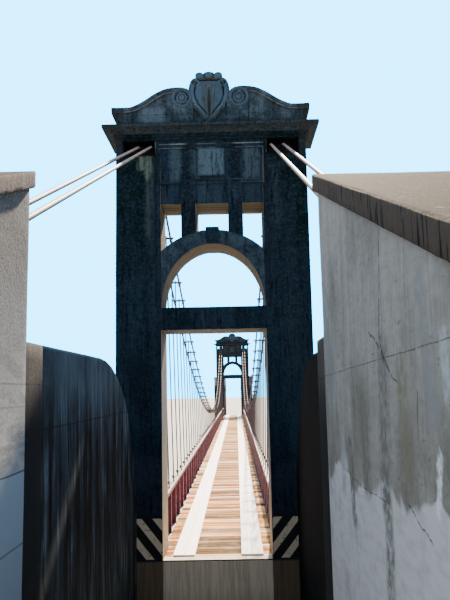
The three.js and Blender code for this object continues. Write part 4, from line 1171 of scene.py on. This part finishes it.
for end, turn in ENDS:
    for side in SIDES:
        name = f"{end}_{side_name(side, turn)}_saddle"
        saddle(side).piece(f"{name}_casting", [saddle_iron], "saddle_iron", name, turned=turn < 0)

# The main cables: two on each side, taut from anchor block to anchor block over the saddles.
# Wrapped smooth and painted, with an iron collar at each block.
SPAN_HALF = 34.2
BAY = 1.2
POSTS = 57
RAIL_HEIGHT = 0.95
HANGER_X = 1.225
SADDLE_INNER_Z = SADDLE_APEX - SADDLE_RADIUS * (1 - math.cos(MAIN_ANGLE))
SADDLE_OUTER_Z = SADDLE_APEX - SADDLE_RADIUS * (1 - math.cos(BACKSTAY_ANGLE))
CABLE_LOW_Z = SADDLE_INNER_Z - MAIN_SLOPE * SPAN_HALF / 2
CABLE_LEAN = (SADDLE_X - HANGER_X) / (SADDLE_INNER_Z - RAIL_HEIGHT)
SOCKET_DEPTH = 0.25
ANCHOR_RUN = -BLOCK_FACE + SOCKET_DEPTH
COLLAR_STEPS = ((0.0, 0.075), (0.03, 0.075), (0.035, 0.05), (0.16, 0.045), (0.17, 0.036))

# Oil paint over the wrapping wire: a pale, chalky brown, darker on the underside as painted shade,
# and darker maroon in the span, most near the portals, partly the paint's own colour and partly
# painted shade; chipped brown in spots.
cable_steel, surface, spot = new_material("dulled_cable_paint", 0.3)
x, depth, z = own_axes(spot)
colour = stained(
    "#7d6f66",
    ("#a0938a", uneven(spot, 0.25, 0.35, 0.65)),
    # Painted shade: darker on the underside.
    ("#3a2b26", over(facing_up(spot), 0.35, -0.25)),
    ("#4f3d35", uneven(spot, 0.06, 0.6, 0.7)),
    # Darker maroon in the span, most near the portals: partly the paint, partly painted shade.
    ("#2b1718", over(depth, 0.2, 1.2), over(depth, 34.0, 20.0, 0.5, 1.0)),
)
coated(surface, colour, 0.6)


def midspan(x, along, z):
    """A point in real metres: across, along from midspan, above the deck."""
    return (x * REAL, along * REAL, DECK_TOP + z * REAL)


def cable_height(along):
    """How high the cables hang above the deck: a parabola between the portals."""
    return CABLE_LOW_Z + (SADDLE_INNER_Z - CABLE_LOW_Z) * (along / SPAN_HALF) ** 2


def cable_x(z):
    """The cables lean outward from the hangers' line at the rail to the saddles."""
    return HANGER_X + (min(z, SADDLE_INNER_Z) - RAIL_HEIGHT) * CABLE_LEAN


def cable_path(side, offset):
    """The whole of one cable, from anchor to anchor."""
    tower = SPAN_HALF + THICKNESS
    half = []
    for out in (ANCHOR_RUN * (1 - step / 3) for step in range(4)):
        half.append((side * (SADDLE_X + offset), -(tower + out), SADDLE_OUTER_Z - out * BACKSTAY_SLOPE))
    half += [(side * (SADDLE_X + offset), depth - tower, z) for depth, z in saddle_arc(SADDLE_RADIUS, 12)[1:]]
    for along in (-SPAN_HALF + BAY / 4 * step for step in range(1, (POSTS - 1) * 2)):
        half.append((side * (cable_x(cable_height(along)) + offset), along, cable_height(along)))
    low = cable_height(0)
    middle = [(side * (cable_x(low) + offset), 0.0, low)]
    return half + middle + [(x, -along, z) for x, along, z in reversed(half)]


def tube(points, radius, sides=16):
    """A round bar along points in the model's metres, closed at both ends."""
    points = [Vector(point) for point in points]
    verts, faces = [], []
    for index, here in enumerate(points):
        along = (points[min(index + 1, len(points) - 1)] - points[max(index - 1, 0)]).normalized()
        aside = along.cross(Vector((0, 0, 1))).normalized()
        upward = aside.cross(along)
        for step in range(sides):
            turn = 2 * math.pi * step / sides
            verts.append(tuple(here + (aside * math.cos(turn) + upward * math.sin(turn)) * radius))
    for index in range(len(points) - 1):
        for step in range(sides):
            a, b = index * sides + step, index * sides + (step + 1) % sides
            faces.append((a, b, b + sides, a + sides))
    faces += [tuple(range(sides)), tuple(range(len(verts) - sides, len(verts)))]
    mesh = bpy.data.meshes.new("tube")
    mesh.from_pydata(verts, [], faces)
    return outward(mesh)


def outward(mesh):
    """The same mesh with every face turned outward."""
    shape = bmesh.new()
    shape.from_mesh(mesh)
    bmesh.ops.recalc_face_normals(shape, faces=shape.faces)
    shape.to_mesh(mesh)
    shape.free()
    return mesh


for side in SIDES:
    for place, offset in (("outer", CABLE_SPACING / 2), ("inner", -CABLE_SPACING / 2)):
        name = f"{side_name(side, 1)}_{place}_cable"
        path = [midspan(*point) for point in cable_path(side, offset)]
        finished(f"{name}_strand", tube(path, CABLE_RADIUS * REAL), [cable_steel], "cable_steel", name)
        collars = Casting()
        for first, second in ((path[0], path[1]), (path[-1], path[-2])):
            run = (Vector(second) - Vector(first)).normalized()
            aside = run.cross(Vector((0, 0, 1))).normalized()
            upward = aside.cross(run)
            start = Vector(first) + run * (SOCKET_DEPTH / math.cos(BACKSTAY_ANGLE) + 0.005) * REAL
            turns = [2 * math.pi * step / 16 for step in range(16)]
            collars.loft([[tuple(start + run * out * REAL + (
                aside * math.cos(turn) + upward * math.sin(turn)) * radius * REAL) for turn in turns]
                for out, radius in COLLAR_STEPS], [0] * 18, 0.05 * REAL, arris=0.002 * REAL, wave=0.0)
        collars.piece(f"{name}_collars", [saddle_iron], "saddle_iron")

# The deck frame: two edge channels, a cross-beam at each half bay, and stringers under the
# planks. Rolled steel sections, riveted together and painted.
FRAME_TOP = -0.063
FRAME_DEPTH = 0.16
FRAME_OUTER = 1.32
EDGE_WIDTH = 0.18
CROSS_WIDTH = 0.09
DECK_END = SPAN_HALF - GAP
STRINGERS = (0.38, 0.86)
CROSS_REACH = FRAME_OUTER - EDGE_WIDTH + 0.02

# Maroon oil paint on steel: a low sheen, faded unevenly, rusty in spots, dusty on upper faces.
painted_steel, surface, spot = new_material("maroon_painted_steel", 0.25)
colour = stained(
    "#48141f",
    ("#6a222e", uneven(spot, 0.15, 0.35, 0.65)),
    ("#7a4a33", uneven(spot, 0.05, 0.62, 0.72)),
    ("#46352f", over(facing_up(spot), 0.75, 0.95), uneven(spot, 0.08, 0.2, 0.45)),
)
coated(surface, colour, 0.55)
roughened(surface, spot, 0.02, 0.002)


class Steelwork:
    """Bars of rolled section, gathered as one mesh; sizes in real metres from midspan."""

    def __init__(self):
        self.verts, self.faces = [], []

    def bar(self, outline, along_low, along_high, axis="y", centre=(0.0, 0.0)):
        """A straight bar: outline is in x and z for a bar along y, or in y and z for one along x."""
        first = len(self.verts)
        for along in (along_low, along_high):
            for a, z in outline:
                a_at, z_at = a + centre[0], z + centre[1]
                self.verts.append(midspan(*((a_at, along) if axis == "y" else (along, a_at)), z_at))
        count = len(outline)
        self.faces += [(first + step, first + (step + 1) % count, first + count + (step + 1) % count,
                        first + count + step) for step in range(count)]
        self.faces += [tuple(range(first, first + count)), tuple(range(first + count, first + 2 * count))]

    def box(self, x_range, y_range, z_range):
        """An oblong bar along the bridge."""
        self.bar([(x_range[out], z_range[up]) for out, up in ((0, 0), (1, 0), (1, 1), (0, 1))], *y_range)

    def mesh(self):
        """The bars as one mesh, in the model's metres."""
        made = bpy.data.meshes.new("steelwork")
        made.from_pydata(self.verts, [], self.faces)
        return outward(made)


def flanged(depth, width, web, flange, side=0):
    """A rolled section in x and z about its top middle: an I, or a channel open to a side, 1 or -1."""
    half, bottom = width / 2, -depth
    web_face = -half + web if side else web / 2
    right = [(half, 0), (half, -flange), (web_face, -flange), (web_face, bottom + flange),
             (half, bottom + flange), (half, bottom)]
    if side == 0:
        return right + [(-x, z) for x, z in reversed(right)]
    return [(side * x, z) for x, z in [(-half, 0)] + right + [(-half, bottom)]]


frame_steel = Steelwork()
for side in SIDES:
    frame_steel.bar(flanged(FRAME_DEPTH, EDGE_WIDTH, 0.014, 0.016, side=-side), -DECK_END, DECK_END,
                    centre=(side * (FRAME_OUTER - EDGE_WIDTH / 2), FRAME_TOP))
    for x in STRINGERS:
        frame_steel.bar(flanged(0.08, 0.06, 0.012, 0.012), -DECK_END, DECK_END, centre=(side * x, FRAME_TOP))
beams = [BAY * (gap - (POSTS - 1) / 2 - 0.5) for gap in range(1, POSTS)]
for along in [CROSS_WIDTH / 2 - DECK_END] + beams + [DECK_END - CROSS_WIDTH / 2]:
    frame_steel.bar(flanged(FRAME_DEPTH - 0.004, CROSS_WIDTH, 0.012, 0.014), -CROSS_REACH, CROSS_REACH,
                    axis="x", centre=(along, FRAME_TOP - 0.002))
finished("deck_frame_steelwork", frame_steel.mesh(), [painted_steel], "painted_steel", "deck_frame",
         smooth=30)

# The steel sides: flanged posts with base plates, outward gussets and stays, a hollow rail in
# three lengths, and round hangers from the yokes across each pair of cables down to the rail.
RAIL_INNER = 1.16
RAIL_OUTER = 1.3
RAIL_DEPTH = 0.05
RAIL_UNDER = RAIL_HEIGHT - RAIL_DEPTH
LIP_HALF = 0.006
POST_INNER = 1.17
POST_OUTER = 1.29
POST_FOOT = -0.058
STAY_TOP = 0.16
BASE_INNER = 1.145
BASE_OUTER = 1.315
GUSSET_INNER = POST_OUTER - 0.004
GUSSET_OUTER = POST_OUTER + 0.1
GUSSET_HEIGHT = 0.2
HANGER_RADIUS = 0.016
YOKE_HALF = 0.2
YOKE_HEIGHT = 0.05
CLAMP_HALF = 0.042
CLAMP_ROD = 0.034

# The same paint made pale pink as a painted highlight where the sun would catch it: the gussets'
# top plates and a strip on each post's inner flange.
highlight_pink_steel, surface, spot = new_material("pink_paint_as_painted_highlight")
coated(surface, stained("#94807b", ("#c2b3ad", uneven(spot, 0.06, 0.35, 0.65))), 0.7)

# The same paint on the hangers and yokes, made nearly black as painted shade, and dull.
shade_darkened_steel, surface, spot = new_material("shade_darkened_red_paint")
coated(surface, stained("#1d0d0d", ("#3d1a1b", uneven(spot, 0.2, 0.35, 0.65))), 0.6)

# Galvanised steel bolts and nuts: grey zinc gone brown in places, with a soft metallic gloss.
galvanised, surface, spot = new_material("weathered_galvanised_bolts")
coated(surface, stained("#6f5f57", ("#a8a09b", uneven(spot, 0.03, 0.4, 0.6))), 0.5, 0.6)


def repeater():
    """The Geometry Nodes tree that sets a shape on every point, turned and stretched as its point says."""
    tree = bpy.data.node_groups.new("repeated_fittings", "GeometryNodeTree")
    for name, way, kind in (("Places", "INPUT", "Geometry"), ("Fitting", "INPUT", "Object"),
                            ("Finish", "INPUT", "Material"), ("Fittings", "OUTPUT", "Geometry")):
        tree.interface.new_socket(name, in_out=way, socket_type=f"NodeSocket{kind}")
    given = add(tree, "NodeGroupInput").outputs
    fitting = add(tree, "GeometryNodeObjectInfo", {"Object": given["Fitting"]}).outputs["Geometry"]
    turn, stretch = (add(tree, "GeometryNodeInputNamedAttribute", {"Name": name}, data_type="FLOAT_VECTOR")
                     for name in ("turn", "stretch"))
    turn = add(tree, "FunctionNodeEulerToRotation", {0: turn.outputs[0]})
    row = {"Points": given["Places"], "Instance": fitting, "Rotation": turn.outputs[0],
           "Scale": stretch.outputs[0]}
    row = add(tree, "GeometryNodeInstanceOnPoints", row).outputs[0]
    row = add(tree, "GeometryNodeRealizeInstances", {0: row}).outputs[0]
    row = add(tree, "GeometryNodeSetMaterial", {"Geometry": row, "Material": given["Finish"]})
    add(tree, "NodeGroupOutput", {0: row.outputs[0]})
    return tree


REPEATER = repeater()


def repeated(fitting, finish, places, turns=None, stretches=None, tones=None):
    """A plain mesh of a fitting set at every place, in the model's metres."""
    points = bpy.data.meshes.new("places")
    points.from_pydata([tuple(place) for place in places], [], [])
    turns = turns or [(0.0, 0.0, 0.0)] * len(places)
    stretches = stretches or [(1.0, 1.0, 1.0)] * len(places)
    for key, values in (("turn", turns), ("stretch", stretches)):
        layer = points.attributes.new(key, "FLOAT_VECTOR", "POINT")
        layer.data.foreach_set("vector", [value for vector in values for value in vector])
    layer = points.attributes.new("tone", "FLOAT", "POINT")
    layer.data.foreach_set("value", tones or [0.5] * len(places))
    holder, shape = placed("places", points), placed("fitting", fitting)
    made = holder.modifiers.new("repeated", "NODES")
    made.node_group = REPEATER
    inputs = {item.name: item.identifier for item in REPEATER.interface.items_tree if item.in_out == "INPUT"}
    made[inputs["Fitting"]] = shape
    made[inputs["Finish"]] = finish
    graph = bpy.context.evaluated_depsgraph_get()
    mesh = bpy.data.meshes.new_from_object(holder.evaluated_get(graph), depsgraph=graph)
    mesh.materials.clear()
    bpy.data.objects.remove(holder)
    bpy.data.objects.remove(shape)
    return mesh


def fitting_mesh(build, bevel=0.0):
    """A small fitting's mesh about its own origin, from a function that fills a bmesh; real metres."""
    shape = bmesh.new()
    build(shape)
    if bevel:
        bmesh.ops.bevel(shape, geom=shape.edges[:], offset=bevel, segments=1, affect="EDGES")
    bmesh.ops.scale(shape, vec=(REAL, REAL, REAL), verts=shape.verts)
    bmesh.ops.recalc_face_normals(shape, faces=shape.faces)
    mesh = bpy.data.meshes.new("fitting")
    shape.to_mesh(mesh)
    shape.free()
    return mesh


def slab(shape, x_range, y_range, z_range):
    """Adds a box to a bmesh."""
    ranges = [sorted(pair) for pair in (x_range, y_range, z_range)]
    made = bmesh.ops.create_cube(shape, size=1.0)["verts"]
    bmesh.ops.scale(shape, vec=[high - low for low, high in ranges], verts=made)
    bmesh.ops.translate(shape, vec=[(low + high) / 2 for low, high in ranges], verts=made)


def plate(shape, outline, y_range):
    """Adds a flat plate to a bmesh: its outline in x and z, its thickness along the bridge."""
    rings = [[shape.verts.new((x, y, z)) for x, z in outline] for y in y_range]
    shape.faces.new(rings[0])
    shape.faces.new(rings[1])
    for step in range(len(outline)):
        after = (step + 1) % len(outline)
        shape.faces.new((rings[0][step], rings[0][after], rings[1][after], rings[1][step]))


def rod(shape, low, high, radius, sides=8):
    """Adds a round bar between two points to a bmesh."""
    low, high = Vector(low), Vector(high)
    run = high - low
    turn = run.to_track_quat("Z", "Y").to_matrix().to_4x4()
    bmesh.ops.create_cone(shape, cap_ends=True, segments=sides, radius1=radius, radius2=radius,
                          depth=run.length, matrix=Matrix.Translation((low + high) / 2) @ turn)


def post_parts(side):
    """A post with its flanges, base plate, gusset and outer stay, about the deck edge."""
    def build(shape):
        slab(shape, (side * POST_INNER, side * POST_OUTER), (-0.006, 0.006), (POST_FOOT, RAIL_UNDER))
        for x in (POST_INNER, POST_OUTER - 0.01):
            slab(shape, (side * x, side * (x + 0.01)), (-0.022, 0.022), (POST_FOOT, RAIL_UNDER))
        slab(shape, (side * BASE_INNER, side * BASE_OUTER), (-0.085, 0.085),
             (POST_FOOT - GAP, POST_FOOT + 0.012))
        plate(shape, [(side * x, z) for x, z in (
            (GUSSET_INNER, RAIL_HEIGHT - GUSSET_HEIGHT), (GUSSET_OUTER, RAIL_HEIGHT - 0.03),
            (GUSSET_OUTER, RAIL_HEIGHT), (GUSSET_INNER, RAIL_HEIGHT))], (-0.007, 0.007))
        plate(shape, [(side * x, z) for x, z in (
            (GUSSET_INNER, POST_FOOT), (GUSSET_INNER, STAY_TOP), (BASE_OUTER, POST_FOOT + 0.012),
            (BASE_OUTER, POST_FOOT))], (-0.005, 0.005))
    return fitting_mesh(build)


def cap_parts(side):
    """A gusset's top plate, from the rail outward, and a strip on the post's inner flange, as painted
    highlight.
    """
    def build(shape):
        slab(shape, (side * (RAIL_OUTER - 0.002), side * GUSSET_OUTER), (-0.03, 0.03),
             (RAIL_HEIGHT - 0.008, RAIL_HEIGHT + 0.004))
        slab(shape, (side * (POST_INNER - 0.001), side * (POST_INNER + 0.004)), (-0.023, -0.012),
             (-0.04, RAIL_UNDER - 0.002))
    return fitting_mesh(build)


def bolt(shape):
    """Adds a bolt's six-sided head, standing on its face."""
    bmesh.ops.create_cone(shape, cap_ends=True, segments=6, radius1=0.012, radius2=0.011, depth=0.012,
                          matrix=Matrix.Translation((0, 0, 0.006)))


def yoke(shape):
    """Adds a yoke: a bar across the two cables, with a saddle plate, two rods and a strap for each."""
    slab(shape, (-YOKE_HALF, YOKE_HALF), (-0.016, 0.016), (0.0, YOKE_HEIGHT))
    for x in (-CABLE_SPACING / 2, CABLE_SPACING / 2):
        clamp = (x - CLAMP_HALF, x + CLAMP_HALF)
        slab(shape, clamp, (-CLAMP_ROD, CLAMP_ROD), (-0.012, 0.0))
        for aside in (-CLAMP_ROD, CLAMP_ROD):
            rod(shape, (x + aside, 0, -0.09), (x + aside, 0, YOKE_HEIGHT + 0.02), 0.006, 6)
        slab(shape, clamp, (-0.02, 0.02), (-0.086, -0.07))


def hanger_nut(shape):
    """Adds a six-sided nut about its own middle."""
    bmesh.ops.create_cone(shape, cap_ends=True, segments=6, radius1=0.024, radius2=0.024, depth=0.03)


PANELS = (("near", 0, 18), ("middle", 19, 37), ("far", 38, 56))
for side in SIDES:
    hand = side_name(side, 1)
    for panel, first, last in PANELS:
        name = f"{hand}_{panel}_side"
        spots = [BAY * (post - (POSTS - 1) / 2) for post in range(first, last + 1)]
        feet = [midspan(0, along, 0) for along in spots]
        finished(f"{name}_posts", repeated(post_parts(side), painted_steel, feet), [painted_steel],
                 "painted_steel", name, smooth=30)
        finished(f"{name}_bleached_edges", repeated(cap_parts(side), highlight_pink_steel, feet), [highlight_pink_steel],
                 "painted_steel", name, smooth=30)

        length = (BAY * (first - POSTS / 2) + GAP, BAY * (last + 1 - POSTS / 2) - GAP)
        rail = Steelwork()
        rail.box(sorted((side * RAIL_INNER, side * RAIL_OUTER)), length, (RAIL_UNDER, RAIL_HEIGHT))
        for lip in (RAIL_INNER + LIP_HALF, RAIL_OUTER - LIP_HALF):
            rail.box(sorted((side * (lip - LIP_HALF), side * (lip + LIP_HALF))), length,
                     (RAIL_UNDER - 0.03, RAIL_UNDER + 0.001))
        finished(f"{name}_rail", rail.mesh(), [painted_steel], "painted_steel", name, smooth=30)

        tops = []
        for along in spots:
            z = cable_height(along)
            slope = abs(2 * (SADDLE_INNER_Z - CABLE_LOW_Z) * along / SPAN_HALF ** 2)
            tops.append((cable_x(z), along,
                         z + CABLE_RADIUS * math.sqrt(1 + slope * slope) + 0.016 * slope + 0.014))
        heads = [midspan(side * x, along, z) for x, along, z in tops]
        finished(f"{name}_yokes", repeated(fitting_mesh(yoke), shade_darkened_steel, heads), [shade_darkened_steel],
                 "painted_steel", name, smooth=30)

        hangers = bmesh.new()
        for x, along, z in tops:
            rod(hangers, (side * HANGER_X, along, RAIL_HEIGHT - 0.02), (side * x, along, z + 0.09),
                HANGER_RADIUS)
        bmesh.ops.scale(hangers, vec=(REAL, REAL, REAL), verts=hangers.verts)
        bmesh.ops.translate(hangers, vec=(0, 0, DECK_TOP), verts=hangers.verts)
        hanger_bars = bpy.data.meshes.new("hangers")
        hangers.to_mesh(hanger_bars)
        hangers.free()
        finished(f"{name}_hangers", outward(hanger_bars), [shade_darkened_steel], "painted_steel", name, smooth=40)

        nuts = [midspan(side * x, along, z + YOKE_HEIGHT + 0.015) for x, along, z in tops]
        nuts += [midspan(side * HANGER_X, along, RAIL_HEIGHT + 0.015) for along in spots]
        bolts = [midspan(side * x, along + aside, -0.046) for along in spots for x in (1.16, 1.303)
                 for aside in (-0.065, 0.065)]
        bolts += [midspan(side * 1.35, along, RAIL_HEIGHT + GAP) for along in spots]
        for kind, build, places in (("nuts", hanger_nut, nuts), ("bolts", bolt, bolts)):
            finished(f"{name}_{kind}", repeated(fitting_mesh(build), galvanised, places), [galvanised],
                     "painted_steel", smooth=30)

# The deck: sawn planks laid across the stringers with open joints, each row in three lengths,
# nailed down; some were renewed in fresh or painted timber.
PLANK_PITCH = 0.2
PLANK_HALF = 1.14
PLANK_THICKNESS = 0.06
PLANK_BUTT = 0.68
DOORWAY_ROWS = 4
ROWS = round(2 * SPAN_HALF / PLANK_PITCH) + 2 * DOORWAY_ROWS
BUTT_GAP = 0.004
SIDE_GAP = 0.008
ARRIS_EASED = 0.006

# Sawn softwood, sun-bleached: quite matt, each plank its own hue, with a raised grain that runs
# across the bridge, pale wear in places, dirt where it is trodden, moss and rust by one edge.
deck_timber, surface, spot = new_material("sun_bleached_sawn_planks", 0.03)
x, depth, z = own_axes(spot)
tone = add(spot, "ShaderNodeAttribute", attribute_name="tone").outputs["Fac"]
hues = add(spot, "ShaderNodeValToRGB", {0: tone})
hues.color_ramp.interpolation = "CONSTANT"
PLANK_HUES = ((0.0, "#7d4a22"), (0.09, "#d39a5f"), (0.24, "#a87240"), (0.34, "#eeb173"), (0.48, "#4b3220"),
              (0.54, "#e99a50"), (0.64, "#967640"), (0.71, "#f6c292"), (0.82, "#5d461f"), (0.86, "#bd541b"),
              (0.9, "#ffe8c4"), (0.96, "#746a70"))
for place, _ in PLANK_HUES[1:-1]:
    hues.color_ramp.elements.new(place)
for step, (place, hue) in zip(hues.color_ramp.elements, PLANK_HUES):
    step.position, step.color = place, linear(hue)
shifted = add(spot, "ShaderNodeVectorMath", {0: spot, 1: tone}, operation="ADD").outputs[0]
grain = cloudy(shifted, 0.35, 0.65, 4.0, (12, 260, 260))
damp_edge = product(over(x, -0.9, -0.95), over(depth, 6.0, 3.0))
colour = stained(
    hues.outputs[0],
    ("#3a2a1e", over(grain, 1.0, 0.0), 0.5),
    ("#f4dcc2", uneven(spot, 0.5, 0.5, 0.85), grain, 0.6),
    ("#4a4c1a", damp_edge, uneven(spot, 0.12, 0.4, 0.55), 0.8),
    ("#c0551a", damp_edge, uneven(spot, 0.22, 0.52, 0.57), 0.7),
    ("#6b5a48", over(x, 0.46, 0.4), over(x, -0.46, -0.4), over(grain, 0.6, 0.2),
     uneven(spot, 0.35, 0.4, 0.6), 0.6),
)
coated(surface, colour, 0.82)
embossed(surface, grain, 0.004)


def board(length, width, thickness, bevel):
    """One sawn board about its own middle, with its arrises eased."""
    def build(shape):
        slab(shape, (-length / 2, length / 2), (-width / 2, width / 2), (-thickness / 2, thickness / 2))
    return fitting_mesh(build, bevel)


chance = np.random.default_rng(7)
for place in ("left", "middle", "right"):
    places, turns, stretches, tones = [], [], [], []
    for row in range(ROWS):
        along = -SPAN_HALF + PLANK_PITCH * (row + 0.5 - DOORWAY_ROWS)
        outdoors = abs(along) < SPAN_HALF
        reach = PLANK_HALF if outdoors else DOOR_FILL
        low_x, high_x = {"left": (-reach, -PLANK_BUTT), "middle": (-PLANK_BUTT, PLANK_BUTT),
                         "right": (PLANK_BUTT, reach)}[place]
        drop = float(chance.uniform(-0.006, 0.0))
        places.append(midspan((low_x + high_x) / 2, along, -PLANK_THICKNESS / 2 + drop))
        turns.append((0.0, 0.0, float(chance.normal(0, 0.003)) if outdoors else 0.0))
        stretches.append((high_x - low_x - BUTT_GAP, float(chance.uniform(0.93, 1.0)), 1.0))
        tones.append(float(chance.uniform(0, 1)))
    plank = board(1.0, PLANK_PITCH - SIDE_GAP, PLANK_THICKNESS, ARRIS_EASED)
    finished(f"deck_planks_{place}", repeated(plank, deck_timber, places, turns, stretches, tones),
             [deck_timber], "deck_timber", "deck_planks", smooth=30)

# The running tracks: two lines of paired pale boards laid along the planks for wheels, butted
# end to end and nailed; scoured near white.
TRACK_INNER = 0.46
TRACK_OUTER = 0.9
TRACK_THICKNESS = 0.03
TRACK_BOARD = 3.0
TRACK_WIDTH = (TRACK_OUTER - TRACK_INNER) / 2
TRACK_END = SPAN_HALF + DOORWAY_ROWS * PLANK_PITCH - GAP
SHORTEST_BOARD = 0.5

# Planed boards scoured by wheels: near white, smoother than the planks, the grain still raised.
track_timber, surface, spot = new_material("scoured_track_boards")
tone = add(spot, "ShaderNodeAttribute", attribute_name="tone").outputs["Fac"]
grain = cloudy(spot, 0.0, 1.0, 4.0, (260, 12, 260))
coated(surface, stained("#f1e8e4", ("#fffaf7", tone), ("#d6cac2", over(grain, 0.5, 0.75), 0.8)), 0.75)
embossed(surface, grain, 0.003)

for side in SIDES:
    places, tones, stretches = [], [], []
    for line in (0, 1):
        along = -TRACK_END
        while along < TRACK_END - 0.01:
            length = min(TRACK_BOARD * float(chance.uniform(0.6, 1.0)), TRACK_END - along)
            if TRACK_END - along - length < SHORTEST_BOARD:
                length = TRACK_END - along
            places.append(midspan(side * (TRACK_INNER + TRACK_WIDTH * (line + 0.5)), along + length / 2,
                                  GAP + TRACK_THICKNESS / 2 + float(chance.uniform(-0.003, 0.0))))
            stretches.append((1.0, (length - 0.006) / TRACK_BOARD, 1.0))
            tones.append(float(chance.uniform(0, 1)))
            along += length
    name = f"{side_name(side, 1)}_track"
    boards = repeated(board(TRACK_WIDTH - BUTT_GAP, TRACK_BOARD, TRACK_THICKNESS, 0.004), track_timber,
                      places, None, stretches, tones)
    finished(f"{name}_boards", boards, [track_timber], "track_boards", name, smooth=30)

low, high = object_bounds()
